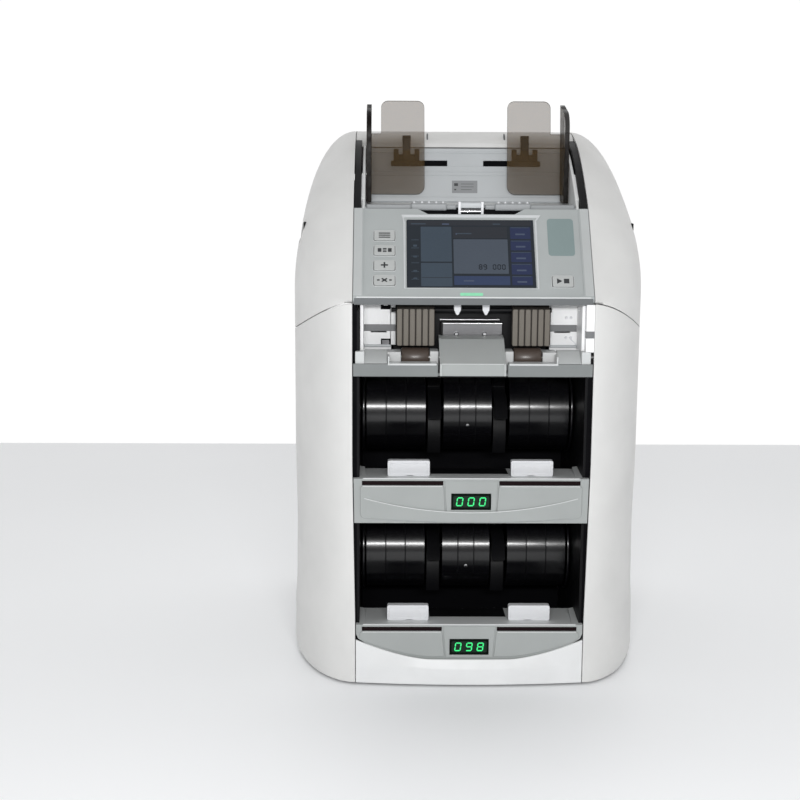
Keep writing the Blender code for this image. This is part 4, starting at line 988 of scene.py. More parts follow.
def reject_ledge():
    half = limits("reject_ledge")[0][1]
    pieces = []
    for side in (-1, 1):
        pieces.append(box(both(side, 30, half), (FRONT, FRONT + 5), (LEDGE_LOW, LEDGE_HIGH)))
    pieces.append(box((-INSIDE, INSIDE), (FRONT + 4.5, FRONT + 52), (LEDGE_LOW, LEDGE_LOW + 2.5)))
    finished("reject_ledge_front", joined(*pieces), LEDGE_GREY, "base", 0.5, 3, replaces=("reject_ledge",))
    for side, hand in HANDS:
        # The light strip over the ledge's top edge is a painted highlight; the riser at its end is a small bracket.
        strip = box(both(side, 31, 73), (FRONT - 0.5, FRONT + 12), (LEDGE_HIGH - 1.2, LEDGE_HIGH + 0.5))
        riser = box(both(side, 71.6, 73), (FRONT - 0.4, FRONT + 14), (LEDGE_HIGH - 1, LEDGE_HIGH + 6.5))
        finished("reject_highlight_and_riser_" + hand, joined(strip, riser), PALE_GREY_AND_HIGHLIGHT, "base", 0.4, 2)
        block = prism(
            [
                (FRONT + 3, LEDGE_HIGH - 3),
                (FRONT + 3, LEDGE_HIGH + 0.2),
                (FRONT + 6, LEDGE_HIGH + 2.2),
                (FRONT + 16, LEDGE_HIGH + 8.4),
                (FRONT + 24, LEDGE_HIGH + 9.4),
                (FRONT + 24, LEDGE_HIGH - 3),
            ],
            *both(side, 73.4, 93.4),
            "YZ",
        )
        finished("reject_block_" + hand, block, PALE_GREY_AND_HIGHLIGHT, "base", 0.8, 3)
        corner = box(both(side, 93, 101), (FRONT + 1.5, FRONT + 11), (LEDGE_HIGH - 2, LEDGE_HIGH + 10.5))
        finished("reject_corner_" + hand, corner, PALE_GREY_AND_HIGHLIGHT, "base", 0.8, 3)
        for place, (inner, outer) in (("inner", (28.8, 36.4)), ("outer", (61.6, 73.8))):
            crown = 297.0 if place == "inner" else 296.2
            ear = box(both(side, inner, outer), (FRONT + 20, FRONT + 38), (LEDGE_LOW + 2, crown))
            ear = carved(ear, rod((-80, ROLLER_Y, ROLLER_Z), (80, ROLLER_Y, ROLLER_Z), 3.5))
            finished(f"roller_bearing_{place}_{hand}", ear, HOPPER_WHITE, "base", 0.9, 3)


def reject_centre():
    """The smooth chute cover between the rollers, with a light rod across its brow as a painted highlight, and raised
    side edges.
    """
    low, high = LEDGE_LOW + 0.6, LEDGE_HIGH
    slope = [(FRONT + 3, high + 1.0), (FRONT + 14, high + 7.2), (FRONT + 24, high + 13.6)]
    brow = [(FRONT + 30, 306.5), (FRONT + 42, 308.0)]
    outer = [(FRONT, low), (FRONT, high - 0.5)] + slope + brow
    inner = [(FRONT + 42, 305.5), (FRONT + 31, 304.0), (FRONT + 4, high - 2.5), (FRONT + 3, low)]
    cover = prism(outer + inner, -27.9, 27.9, "YZ")
    finished("reject_chute", cover, CHUTE_GREY, "base", 0.5, 3, 12, ("reject_centre_cover",))
    for side, hand in HANDS:
        rim = [(y, z + 0.5) for y, z in outer[1:]]
        rim[0] = (FRONT - 0.5, rim[0][1])
        under = [(y + 0.4, z - 2.0) for y, z in reversed(outer[1:])]
        edge = prism([(FRONT - 0.5, low)] + rim + under + [(FRONT + 1.5, low)], *both(side, 26.6, 28.4), "YZ")
        finished("reject_chute_edge_" + hand, edge, CHUTE_GREY, "base", 0.3, 2, 12)
    front = box((-26.4, 26.4), (FRONT - 0.35, FRONT + 0.5), (low, high - 0.6))
    finished("reject_chute_front", front, TRAY_GREY, "base", 0.3)
    # A thin light rod along the chute's front edge: a painted highlight.
    lip = rod((-27.2, FRONT + 0.7, high - 0.1), (27.2, FRONT + 0.7, high - 0.1), 0.55, sides=12)
    finished("reject_chute_brow_highlight", lip, PALE_GREY_AND_HIGHLIGHT, "base")


def reject_roller():
    """Two smooth brown rubber tyres on a steel shaft, and the drive pulley."""
    shaft = rod((-102, ROLLER_Y, ROLLER_Z), (110, ROLLER_Y, ROLLER_Z), 3.0)
    rim = [(0.01, 103.0), (5.6, 103.0), (6.0, 103.5), (6.0, 108.5), (5.6, 109.0), (0.01, 109.0)]
    pulley = turned(rim, (0, ROLLER_Y, ROLLER_Z), "X")
    node = "reject_roller"
    finished("reject_roller_shaft", joined(shaft, pulley), STEEL, node, 0.25, replaces=(node,))
    for side, hand in HANDS:
        low, high = both(side, 37.0, 61.0)
        profile = [(3.0, low), (7.7, low), (8.5, low + 0.8), (8.5, high - 0.8), (7.7, high), (3.0, high)]
        tyre = turned(profile, (0, ROLLER_Y, ROLLER_Z), "X")
        finished("reject_tyre_" + hand, tyre, ROLLER_BROWN, node, smooth=50)


def reject_flap(side, hand):
    """A ribbed flap: a dark plate with rounded lower corners, and rounded ribs down its face."""
    node = "reject_flap_" + hand
    inner, outer, ribs = 33.5, 67.0, 6
    low, high = (edge + 1.4 for edge in both(side, inner, outer))
    plate_y = (FRONT + 27.6, FRONT + 31.0)
    back = prism(rounded((low, high), (300.5, 333.5), 2.6), *plate_y)
    knuckle = rod((low + 0.5, FRONT + 34, 331.5), (high - 0.5, FRONT + 34, 331.5), 4.6)
    finished(node + "_plate", joined(back, knuckle), RIB_SHADE, node, 0.5, 3)
    pieces = []
    pitch = (high - low) / ribs
    for i in range(ribs):
        x = low + (i + 0.5) * pitch
        shape = prism(rounded((x - pitch * 0.40, x + pitch * 0.40), (300.9, 333.1), 1.2), FRONT + 25.8, FRONT + 28.0)
        pieces.append(shape)
    finished(node + "_ribbed", joined(*pieces), RIB_BROWN, node, 0.5, 3, replaces=(node,))


def reject_wall(side, hand):
    """The white inner wall with its grey band and small sensor windows."""
    node = "reject_wall_" + hand
    finished(node + "_skin", cad_mesh(node), WALL_WHITE, "base", 0.5, 2, replaces=(node,))
    face = FRONT + 45.0
    wing = box(both(side, 66.0, 71.0), (face, face + 1.6), (299.0, 339.0))
    finished("reject_wing_" + hand, wing, WALL_WHITE, "base", 0.3)
    band = box(both(side, 66.2, 93.8), (face - 0.5, face + 0.6), (311.2, 317.2))
    finished("reject_band_" + hand, band, BAND_GREY, "base", 0.3)
    sill = box(both(side, 70.2, 93.8), (face - 3.5, face), (297.5, 299.5))
    finished("reject_sill_" + hand, sill, HOPPER_GREY, "base", 0.5)
    if side < 0:
        upper = box((-79.2, -70.8), (face - 0.35, face + 0.4), (330.5, 339.0))
        lamp = box((-76.6, -73.0), (face - 0.6, face - 0.2), (333.8, 339.0))
        finished("wall_window_upper", upper, BLACK_AND_OPENING_SHADE, "base")
        finished("wall_window_lamp", lamp, WALL_WHITE, "base", 0.2)
        rim = box((-79.0, -70.5), (face - 0.7, face + 0.4), (298.3, 304.5))
        glass = box((-78.0, -71.6), (face - 0.9, face), (299.1, 303.4))
        finished("wall_window_rim", rim, BLACK_AND_OPENING_SHADE, "base", 0.2)
        finished("wall_window_glass", glass, PLATE_GREY, "base", 0.2)
        return
    for z in (323.5, 306.0):
        for x in (84.5, 88.5):
            stud = rod((x, face + 1, z), (x, face - 1.6, z), 1.4, 1.1, 20)
            finished(f"wall_stud_{round(x)}_{round(z)}", stud, PAD_WHITE, "base", 0.3)
    brace = rod((88.5, face - 0.6, 305.0), (93.6, face - 0.6, 299.8), 0.5, sides=10)
    finished("wall_brace", brace, PAD_WHITE, "base")


reject_ledge()
reject_centre()
reject_roller()
for hand_side, hand_name in HANDS:
    reject_flap(hand_side, hand_name)
    reject_wall(hand_side, hand_name)
rod_y, rod_z = middle("flap_rod")[1:]
flap_bar = rod((-70, rod_y, rod_z), (70, rod_y, rod_z), 2.0)  # short of the white walls
finished("flap_rod_bar", flap_bar, SATIN_BLACK, "base", replaces=("flap_rod",))
side_wall = box((96.4, 104.0), (FRONT + 2.5, FRONT + 34), (299.0, 340.0))
finished("reject_side_wall", side_wall, WALL_WHITE, "base", 0.4)
side_band = box((96.2, 103.8), (FRONT + 2.1, FRONT + 8), (311.2, 317.2))
finished("reject_side_band", side_band, BAND_GREY, "base", 0.2)

# The dark throat behind the flaps: a plate with a bright upper edge, two bolts and two pointed tabs.
throat = FRONT + 46.0
finished("throat_plate", box((-24.6, 28.0), (throat - 0.8, throat + 1), (306.8, 317.6)), PLATE_GREY, "base", 0.4)
finished("throat_lip", box((-24.6, 28.0), (throat - 1.6, throat + 1), (317.6, 318.6)), STEEL, "base", 0.3)
finished("throat_rail", box((-27, 26), (throat + 4, throat + 7.5), (320.4, 321.2)), STEEL, "base", 0.2)
tab_y = middle("flap_rod")[1] - 4.2
for bolt_x in (-12.4, 12.4):
    bolt = turned([(0.01, 0), (1.9, 0), (1.9, 1.0), (1.3, 1.7), (0.01, 1.7)], (0, 0, 0), sides=20)
    bolt = moved(bolt, Matrix.Translation((bolt_x, throat - 0.6, 309.0)) @ Matrix.Rotation(math.pi / 2, 4, "X"))
    finished("throat_bolt_" + ("left" if bolt_x < 0 else "right"), bolt, CHROME, "base")
    tab = [(-3.1, 337.5), (3.1, 337.5), (3.0, 331.8), (1.0, 327.9), (0.0, 327.3), (-1.0, 327.9), (-3.0, 331.8)]
    tab = prism([(x + bolt_x, z) for x, z in tab], tab_y, tab_y + 1.5)
    finished("throat_tab_" + ("left" if bolt_x < 0 else "right"), tab, PAD_WHITE, "base", 0.3)

# ------------------------------------------------------------------------------------------------ control panel


def panel_piece(name, outline, out, finish, body="upper_unit", bevel=0.0, segments=2, replaces=()):
    """A flat piece on the panel from an outline of (across, up the slope) and two heights out of its face."""
    mesh = moved(prism(outline, out[0], out[1], "XY"), ON_PANEL)
    return finished(name, mesh, finish, body, bevel, segments, replaces=replaces)


def panel_housing():
    profile = [(5.6, 0.55), (PANEL_LENGTH, 0.55), (PANEL_LENGTH, -PANEL_THICK), (7.03, -PANEL_THICK), (2.75, -3.52)]
    spots = [ON_PANEL @ Vector((0, up, out)) for up, out in profile]
    housing = prism([(spot.y, spot.z) for spot in spots], -PANEL_HALF, PANEL_HALF, "YZ")
    notch = [(-38, 91.5), (38, 91.5), (52, PANEL_LENGTH + 3), (-52, PANEL_LENGTH + 3)]
    recess = rounded((-94.2, 94.2), (6.4, PANEL_LENGTH + 12), 3.2, 6)
    tools = [(recess, (-0.55, 4.0)), (notch, (-14.0, 4.0))]
    window_x, window_up = ((span[0] - 0.3, span[1] + 0.3) for span in (SCREEN_X, SCREEN_UP))
    tools.append((rounded(window_x, window_up, 0.4), (-14, 4)))
    for name in KEYS:
        x, up, wide, tall = key_place(name)
        hole = rounded((x - wide / 2 - 0.45, x + wide / 2 + 0.45), (up - tall / 2 - 0.45, up + tall / 2 + 0.45), 1.5)
        tools.append((hole, (-14.0, 4.0)))
    cutters = [moved(prism(outline, out[0], out[1], "XY"), ON_PANEL) for outline, out in tools]
    housing = carved(housing, *cutters)
    finished("panel_housing_skin", housing, PANEL_GREY, "upper_unit", 0.55, 3, 20, ("panel_housing",))
    # The lower lip is painted dark grey as shade on its down-turned face.
    spots = [ON_PANEL @ Vector((0, up, out)) for up, out in ((5.2, -0.15), (0.6, -4.1), (1.4, -5.4), (6.2, -1.5))]
    lip = prism([(spot.y, spot.z) for spot in spots], -PANEL_HALF + 1.0, PANEL_HALF - 1.0, "YZ")
    finished("panel_lower_lip", lip, DARK_GREY_AND_LIP_SHADE, "upper_unit", 0.2)
    # A thin light rod above the lower lip: a painted highlight on the panel's bevelled lower edge.
    brow = ON_PANEL @ Vector((0, 5.5, 0.25))
    line = rod((-PANEL_HALF + 3, brow.y, brow.z), (PANEL_HALF - 3, brow.y, brow.z), 0.6, sides=12)
    finished("panel_lip_highlight", line, EDGE_HIGHLIGHT, "upper_unit")
    # The raised side bands are painted lighter than the panel as a highlight for their tilt.
    for side, hand in HANDS:
        band = [(95.2, 7.0), (PANEL_HALF - 0.4, 7.0), (PANEL_HALF - 0.4, PANEL_LENGTH - 0.6), (95.2, PANEL_LENGTH - 0.6)]
        panel_piece("panel_band_" + hand, mirrored(band) if side < 0 else band, (0.3, 1.1), SIDE_BAND_HIGHLIGHT, bevel=0.5)


def key_place(name):
    x = middle("key_" + name)[0]
    if name == "start":
        return x + 1.8, KEYS[name], 18.0, 10.8
    return x + 0.9, KEYS[name], 18.0, 9.8


def bezel():
    """The sloped frame round the screen, wider along its upper edge."""
    face = -0.5
    outer = [(-59.4, 14.6), (56.4, 14.6), (56.8, 84.0), (60.8, 90.4), (-61.5, 90.4), (-59.8, 84.0)]
    left, right = SCREEN_X[0] - 0.1, SCREEN_X[1] + 0.1
    low, high = SCREEN_UP[0] - 0.1, SCREEN_UP[1] + 0.1
    inner = [(left, low), (right, low), (right, high - 3), (right, high), (left, high), (left, high - 3)]
    loops = []
    for outline, out in ((outer, -2.5), (outer, face + 0.75), (inner, face - 0.9), (inner, -2.5)):
        loops.append([ON_PANEL @ Vector((x, up, out)) for x, up in outline])
    # Its lighter grey is a painted highlight on the slopes.
    finished("screen_bezel", ring(*loops), BEZEL_HIGHLIGHT, "upper_unit", 0.25)


def on_screen(name, across, down, finish, lift=0.12, round_by=0.5):
    """A tile of the screen's picture, placed by its shares of the screen's width and height from the top left."""
    wide, tall = SCREEN_X[1] - SCREEN_X[0], SCREEN_UP[1] - SCREEN_UP[0]
    x = tuple(SCREEN_X[0] + share * wide for share in across)
    up = tuple(SCREEN_UP[1] - share * tall for share in reversed(down))
    panel_piece("screen_" + name, rounded(x, up, round_by, 2), (-0.5, -0.5 + lift), finish)


def screen():
    glass = rounded(SCREEN_X, SCREEN_UP, 0.8, 3)
    panel_piece("screen_glass", glass, (-6.0, -0.5), SCREEN_BASE, bevel=0.2, replaces=("touch_screen",))
    on_screen("status_bar", (0.012, 0.985), (0.015, 0.085), SCREEN_DARK, 0.05)
    on_screen("status_text", (0.28, 0.335), (0.055, 0.075), SCREEN_MARK, 0.1, 0.2)
    on_screen("status_left", (0.035, 0.15), (0.055, 0.07), SCREEN_LIST, 0.1, 0.2)
    on_screen("status_right", (0.68, 0.74), (0.055, 0.07), SCREEN_LIST, 0.1, 0.2)
    for i, place in enumerate((0.30, 0.42, 0.54, 0.64, 0.77, 0.88)):
        on_screen(f"side_line_{i}", (0.035, 0.095), (place, place + 0.008), SCREEN_LIST, 0.08, 0.1)
    for i, place in enumerate((0.375, 0.535, 0.75, 0.86)):
        on_screen(f"side_sign_{i}", (0.05, 0.08), (place, place + 0.03), SCREEN_LIST, 0.08, 0.5)
    on_screen("list_upper", (0.11, 0.352), (0.105, 0.625), SCREEN_LIST, 0.08)
    on_screen("list_lower", (0.11, 0.352), (0.645, 0.985), SCREEN_LIST, 0.08)
    on_screen("list_rule", (0.115, 0.347), (0.855, 0.862), SCREEN_DARK, 0.14, 0.1)
    on_screen("header", (0.362, 0.79), (0.105, 0.275), SCREEN_DARK, 0.08)
    on_screen("header_text", (0.385, 0.51), (0.20, 0.215), SCREEN_LIST, 0.14, 0.2)
    on_screen("header_dot", (0.385, 0.395), (0.205, 0.225), SCREEN_MARK, 0.16, 0.2)
    on_screen("value", (0.366, 0.792), (0.292, 0.80), SCREEN_VALUE, 0.08)
    on_screen("bar", (0.366, 0.80), (0.835, 0.965), SCREEN_BAR, 0.08)
    on_screen("bar_text", (0.44, 0.52), (0.895, 0.915), SCREEN_MARK, 0.14, 0.2)
    for i, (start, end) in enumerate(((0.105, 0.285), (0.305, 0.455), (0.475, 0.63), (0.65, 0.81), (0.83, 0.965))):
        on_screen(f"button_{i}", (0.815, 0.975), (start, end), SCREEN_BLUE, 0.08)
        mark = (start + end) / 2 + 0.02
        on_screen(f"button_edge_{i}", (0.82, 0.965), (start + 0.006, start + 0.016), SCREEN_LIST, 0.14, 0.1)
        on_screen(f"button_text_{i}", (0.855, 0.93), (mark - 0.012, mark + 0.012), SCREEN_MARK, 0.14, 0.2)
    wide, tall, gap = 2.3, 4.6, 4.0
    figures = []
    right = SCREEN_X[0] + 0.765 * (SCREEN_X[1] - SCREEN_X[0])
    foot = SCREEN_UP[1] - 0.735 * (SCREEN_UP[1] - SCREEN_UP[0])
    for place, digit in enumerate(("0", "0", "0", "", "9", "8")):
        for part in LIT.get(digit, ()):
            ends = [(right - gap * place - wide + a * wide, foot + b * tall) for a, b in SEGMENTS[part]]
            figures.append(moved(prism(stroke(*ends, 0.8), -0.45, -0.3, "XY"), ON_PANEL))
    finished("screen_figures", joined(*figures), SCREEN_INK, "upper_unit")


def pictogram(name):
    """Outlines of a key's printed sign, centred on the key, in millimetres."""

    def bar(x, up, wide, tall):
        left, right, low, high = x - wide / 2, x + wide / 2, up - tall / 2, up + tall / 2
        return [(left, low), (right, low), (right, high), (left, high)]

    if name == "menu":
        return [bar(0, up, 10.0, 1.1) for up in (-2.1, 0.0, 2.1)]
    if name == "mode":
        return [bar(-4.2, 0, 3.2, 3.8), bar(0.2, 1.2, 3.2, 1.5), bar(0.2, -1.2, 3.2, 1.5), bar(4.6, 0, 3.2, 3.8)]
    if name == "add":
        return [bar(0, 0, 6.2, 1.5), bar(0, 1.8, 1.5, 2.2), bar(0, -1.8, 1.5, 2.2)]
    if name == "clear":
        cross = []
        for turn in (-1, 1):
            low, high = Vector((-2.6, -1.9 * turn)), Vector((2.6, 1.9 * turn))
            cross.append(stroke(low, high, 1.3))
        return cross + [bar(-5.2, 0, 2.2, 1.4), bar(5.2, 0, 2.2, 1.4)]
    return [[(-5.2, -2.7), (-0.6, 0.0), (-5.2, 2.7)], bar(3.0, 0, 4.6, 4.6)]


def keys():
    for name in KEYS:
        x, up, wide, tall = key_place(name)
        node = "key_" + name
        cap = rounded((x - wide / 2, x + wide / 2), (up - tall / 2, up + tall / 2), 1.3, 4)
        panel_piece(node + "_cap", cap, (-9.0, 0.75), KEY_WHITE, node, 0.4, 3, (node,))
        signs = []
        for outline in pictogram(name):
            signs.append(moved(prism([(x + a, up + b) for a, b in outline], 0.72, 0.80, "XY"), ON_PANEL))
        finished(node + "_sign", joined(*signs), INK, node)
        outer = rounded((x - wide / 2 - 0.95, x + wide / 2 + 0.95), (up - tall / 2 - 0.95, up + tall / 2 + 0.95), 1.8, 4)
        inner = rounded((x - wide / 2 - 0.5, x + wide / 2 + 0.5), (up - tall / 2 - 0.5, up + tall / 2 + 0.5), 1.5, 4)
        loops = []
        for outline, out in ((outer, -0.7), (outer, -0.4), (inner, -0.25), (inner, -0.7)):
            loops.append([ON_PANEL @ Vector((a, b, out)) for a, b in outline])
        finished(node + "_surround", ring(*loops), PALE_GREY_AND_HIGHLIGHT, "upper_unit")


panel_housing()
bezel()
screen()
keys()
panel_piece("status_lamp", rounded((-11.5, 8.0), (7.6, 10.6), 0.8, 3), (-0.8, -0.3), LAMP_GREEN, bevel=0.1)
panel_piece("reader_patch", rounded((65.9, 88.9), (48.4, 87.0), 3.0, 6), (-0.8, -0.4), PATCH_GREEN, bevel=0.1)

# ------------------------------------------------------------------------------------------------ hopper

BED_Z = 418.5


def bed_strip(name, near, far, finish, tools=()):
    strip = box((-HOPPER_HALF - 1, HOPPER_HALF + 1), (near, far), (BED_Z - 3, BED_Z))
    if tools:
        strip = carved(strip, *tools)
    finished(name, strip, finish, "upper_unit", 0.4, replaces=("hopper_bed",) if tools else ())


def hopper():
    front, split = FRONT + 68.0, -46.0
    windows = [box(both(side, 14, 38), (FRONT + 72, FRONT + 98), (380, 430)) for side in (-1, 1)]
    bed_strip("hopper_bed_front", front, split, RAIL_GREY, windows)
    bed_strip("hopper_bed_back", split + 0.2, BACK_Y - 1, HOPPER_WHITE)
    for side, hand in HANDS:
        edge = [front + i * 7.0 for i in range(14)]
        edge = [y for y in edge if y < -1] + [-0.5]
        wall = [(y, top_z(y) - 6.0) for y in edge] + [(-0.5, 412.0), (front, BED_Z - 3)]
        mesh = prism(wall, *both(side, HOPPER_HALF + 0.5, HOPPER_HALF + 3.0), "YZ")
        finished("hopper_wall_" + hand, mesh, HOPPER_WHITE, "upper_unit", 0.6, 3)
        edge = [PANEL_TOP_Y - 1.0 + i * 8.0 for i in range(14)]
        edge = [y for y in edge if y < 4] + [4.5]
        liner = [(y, top_z(y) - 2.2) for y in edge] + [(4.5, 400.0), (PANEL_TOP_Y + 6.0, 400.0)]
        mesh = prism(liner, *both(side, 97.2, 103.0), "YZ")
        finished("hopper_liner_" + hand, mesh, SATIN_BLACK, "upper_unit", 0.4)
        near, far = FRONT + 76.0, FRONT + 106.0
        block = [(near, 416.0), (near, top_z(near) - 5.0), (far, top_z(far) - 5.0), (far, 416.0)]
        block = prism(block, *both(side, 93.4, 97.0), "YZ")
        finished("sensor_block_" + hand, block, HOPPER_WHITE, "upper_unit", 0.8, 3)
        lip = box(both(side, 21, 53), (FRONT + 63.0, FRONT + 70.0), (415.8, 422.3))
        finished("bed_lip_" + hand, lip, RAIL_GREY, "upper_unit", 1.6, 4)
        for i, x in enumerate((24.5, 30.5, 37.0, 43.0, 50.0)):
            knob = [(0.01, -1), (1.1, -1), (1.1, 0.6), (0.7, 1.2), (0.01, 1.4)]
            bump = turned(knob, (side * x, FRONT + 66.5, 422.3), sides=16)
            finished(f"bed_bump_{hand}_{i}", bump, PAD_WHITE, "upper_unit")
    rails = [box(both(side, 12.8, 92.0), (FRONT + 66.5, FRONT + 74.0), (416.6, 420.8)) for side in (-1, 1)]
    finished("bed_rail", joined(*rails), RAIL_GREY, "upper_unit", 0.9, 3)
    # A black box behind the bed's front: painted shade in the gap under the lips.
    gap_shade = box((-92, 92), (FRONT + 67.2, FRONT + 73.5), (399, 416.8))
    finished("bed_gap_shade", gap_shade, BLACK_AND_OPENING_SHADE, "upper_unit", 0.4)


def hopper_gate():
    """The small sensor arch in the middle of the bed's front: two posts, a housing and a bright bar."""
    posts = [box(both(side, 8.8, 11.2), (FRONT + 61.5, FRONT + 73), (411.0, 423.6)) for side in (-1, 1)]
    finished("gate_posts", joined(*posts), PAD_WHITE, "upper_unit", 0.5, 3)
    block = box((-10.5, 10.5), (FRONT + 64.0, FRONT + 73), (417.8, 423.0))
    finished("gate_housing", block, HOPPER_GREY, "upper_unit", 1.2, 4)
    # A black box behind the gate: painted shade in its recess.
    finished("gate_recess_shade", box((-12.6, 12.6), (FRONT + 66, FRONT + 71), (408.0, 418.2)), BLACK_AND_OPENING_SHADE, "upper_unit", 0.2)
    bar = rod((-9.6, FRONT + 63.5, 415.2), (9.6, FRONT + 63.5, 415.2), 1.6)
    finished("gate_bar", bar, CHROME, "upper_unit")


def on_back(x, up, out):
    """A box on the hopper's leaning back: across, height above its foot, and distance in front of its face."""
    leaning = Matrix.Translation((0, BACK_Y, BACK_Z)) @ Matrix.Rotation(-BACK_LEAN, 4, "X")
    return moved(box(x, (-out[1], -out[0]), up), leaning)


def hopper_back():
    """The leaning back plate with guide slots, ridges and a blank sticker."""

    def up_to(z):
        return (z - BACK_Z) / math.cos(BACK_LEAN)

    refined("hopper_back", HOPPER_GREY, 0.4)
    for name, z, tall, out in (("high", 465.0, 1.6, 0.9), ("middle", 447.2, 1.2, 0.5), ("low", 443.6, 0.9, 0.5)):
        ridge = on_back((-92.6, 92.6), (up_to(z) - tall / 2, up_to(z) + tall / 2), (-0.3, out))
        finished("back_ridge_" + name, ridge, HOPPER_GREY, "upper_unit", 0.35, 3)
    step = on_back((-16.4, 16.4), (up_to(452.0), up_to(453.2)), (-0.2, 0.35))
    finished("back_step", step, HOPPER_GREY, "upper_unit", 0.2)
    # Black plates deep in the guide slots: painted shade inside them.
    for side, hand in HANDS:
        slot = on_back(both(side, 16.6, 68.4), (up_to(451.6), up_to(457.6)), (-5.6, -3.4))
        finished("slot_shade_" + hand, slot, BLACK_AND_OPENING_SHADE, "upper_unit")
    foot = on_back((-92.6, 92.6), (up_to(418.9), up_to(423.4)), (-0.3, 1.3))
    finished("back_foot", foot, HOPPER_GREY, "upper_unit", 0.6, 3)
    sticker = on_back((-12.5, 11.5), (up_to(427.2), up_to(438.7)), (-0.2, 0.12))
    finished("blank_sticker", sticker, STICKER, "upper_unit")
    marks = (
        (-8.6, 435.0, 3.6, 2.6), (-9.4, 430.4, 1.8, 1.2), (2.0, 435.6, 12.0, 0.6), (2.0, 433.0, 12.0, 0.6),
        (1.0, 430.4, 10.0, 0.6),
    )
    for i, (x, z, wide, tall) in enumerate(marks):
        mark = on_back((x - wide / 2, x + wide / 2), (up_to(z) - tall / 2, up_to(z) + tall / 2), (0.0, 0.2))
        finished(f"sticker_mark_{i}", mark, INK if i < 2 else DARK_GREY_AND_LIP_SHADE, "upper_unit")


def smoke_piece(name, mesh, body, rim_axis, replaces=()):
    """A smoked plate whose narrow rim, seen edge-on, is darker than its faces."""
    piece = finished(name, mesh, SMOKE, body, 0.4, 2, replaces=replaces)
    piece.data.materials.append(SMOKE_RIM)
    axis = Vector(rim_axis)
    for face in piece.data.polygons:
        if abs(face.normal.dot(axis)) < 0.5:
            face.material_index = 1
    return piece


def note_guide(side, hand):
    """Side plate, back sheet with its tall paddle, and the black clamp that carries them along the slot."""
    node = "note_guide_" + hand
    foot_y, lean = BACK_Y - 5.5, math.tan(BACK_LEAN)
    start = FRONT + 120.0
    plate = [(start, BED_Z + 1.5), (start, 486.0)] + arc((start + 17, 486.0), 17.0, 172, 100, 8)
    plate += [(foot_y + 62 * lean, 509.0), (foot_y + 4 * lean, 427.0), (foot_y - 2, BED_Z + 1.5)]
    mesh = prism(plate, *both(side, 88.2, 92.7), "YZ")
    smoke_piece(node + "_plate", mesh, node, (1, 0, 0), (node,))
    inner, mid, outer = 39.0, 79.5, 90.2
    back = (
        [(outer, 0), (outer, 57), (mid, 57)]
        + arc((mid - 6.5, 81.5), 6.5, 0, 90, 8)
        + arc((inner + 6.5, 81.5), 6.5, 90, 180, 8)
        + arc((inner + 7.5, 8.0), 8.0, 180, 270, 8)
    )
    if side < 0:
        back = mirrored(back)
    tilt = Matrix.Translation((0, foot_y, 426.0)) @ Matrix.Rotation(-BACK_LEAN, 4, "X")
    smoke_piece(node + "_paddle", moved(prism(back, -2.4, -0.1), tilt), node, tilt.to_3x3() @ Vector((0, 1, 0)))
    centre = side * 55.5
    slot_y = BACK_Y + (SLOT_Z - BACK_Z) * lean
    clamp = [
        box((centre - 14.5, centre + 14.5), (slot_y - 7.4, slot_y - 1.0), (SLOT_Z - 2.4, SLOT_Z + 2.4)),
        box((centre - 3.6, centre + 3.6), (slot_y - 6.2, slot_y - 0.6), (SLOT_Z, 478.0)),
        box((centre - 3.9, centre + 3.9), (slot_y - 3.8, slot_y + 1.2), (474.5, 480.5)),
        box((centre - 12.0, centre - 7.6), (slot_y - 5.6, slot_y - 0.8), (SLOT_Z, 468.0)),
        box((centre + 7.6, centre + 12.0), (slot_y - 5.6, slot_y - 0.8), (SLOT_Z, 468.0)),
        box((centre - 9.0, centre + 9.0), (slot_y - 5.0, slot_y - 1.2), (SLOT_Z, 463.0)),
        box((centre - 4.0, centre + 4.0), (slot_y - 2.0, slot_y + 12.0), (SLOT_Z - 2.2, SLOT_Z + 2.2)),
    ]
    finished(node + "_clamp", joined(*clamp), SATIN_BLACK, node, 0.5, 3)
    rack_z = SLOT_Z + side * 8.3
    reach = tuple(sorted((side * 59.5, -side * 20.0)))
    rack = box(reach, (slot_y + 8.1, slot_y + 11.9), (rack_z - 1.8, rack_z + 1.8))
    link = box(both(side, 51.5, 59.5), (slot_y + 8.1, slot_y + 11.9), tuple(sorted((SLOT_Z, rack_z))))
    finished(node + "_rack", joined(rack, link), SATIN_BLACK, node, 0.3)


hopper()
hopper_gate()
hopper_back()
for hand_side, hand_name in HANDS:
    note_guide(hand_side, hand_name)
refined("guide_pinion", PAD_WHITE, 0.3)
refined("image_sensor", GLOSS_BLACK, 0.5)

feed_shaft = rod((-96, FEED_Y, FEED_Z), (96, FEED_Y, FEED_Z), 3.0)
finished("feed_roller_shaft", feed_shaft, STEEL, "feed_roller", 0.3, replaces=("feed_roller",))
for hand_side, hand_name in HANDS:
    tyre_x = both(hand_side, 16.0, 36.0)
    tyre_profile = [(3.0, tyre_x[0]), (11.4, tyre_x[0]), (12.0, tyre_x[0] + 0.6)]
    tyre_profile += [(12.0, tyre_x[1] - 0.6), (11.4, tyre_x[1]), (3.0, tyre_x[1])]
    feed_tyre = turned(tyre_profile, (0, FEED_Y, FEED_Z), "X", 64)
    finished("feed_tyre_" + hand_name, feed_tyre, ROLLER_BROWN, "feed_roller", smooth=50)

# Two small marks on the top cover, near its front edge.
for mark_name, mark_x, mark_y in (("left", (-36.4, -35.0), (11.0, 13.0)), ("right", (36.6, 38.0), (11.0, 15.5))):
    mark = prism([(9.0, 474.0), (mark_y[0], 481.0), (mark_y[1], 482.4), (mark_y[1], 474.0)], *mark_x, "YZ")
    finished("top_cover_mark_" + mark_name, mark, DARK_GREY_AND_LIP_SHADE, "upper_unit", 0.3)

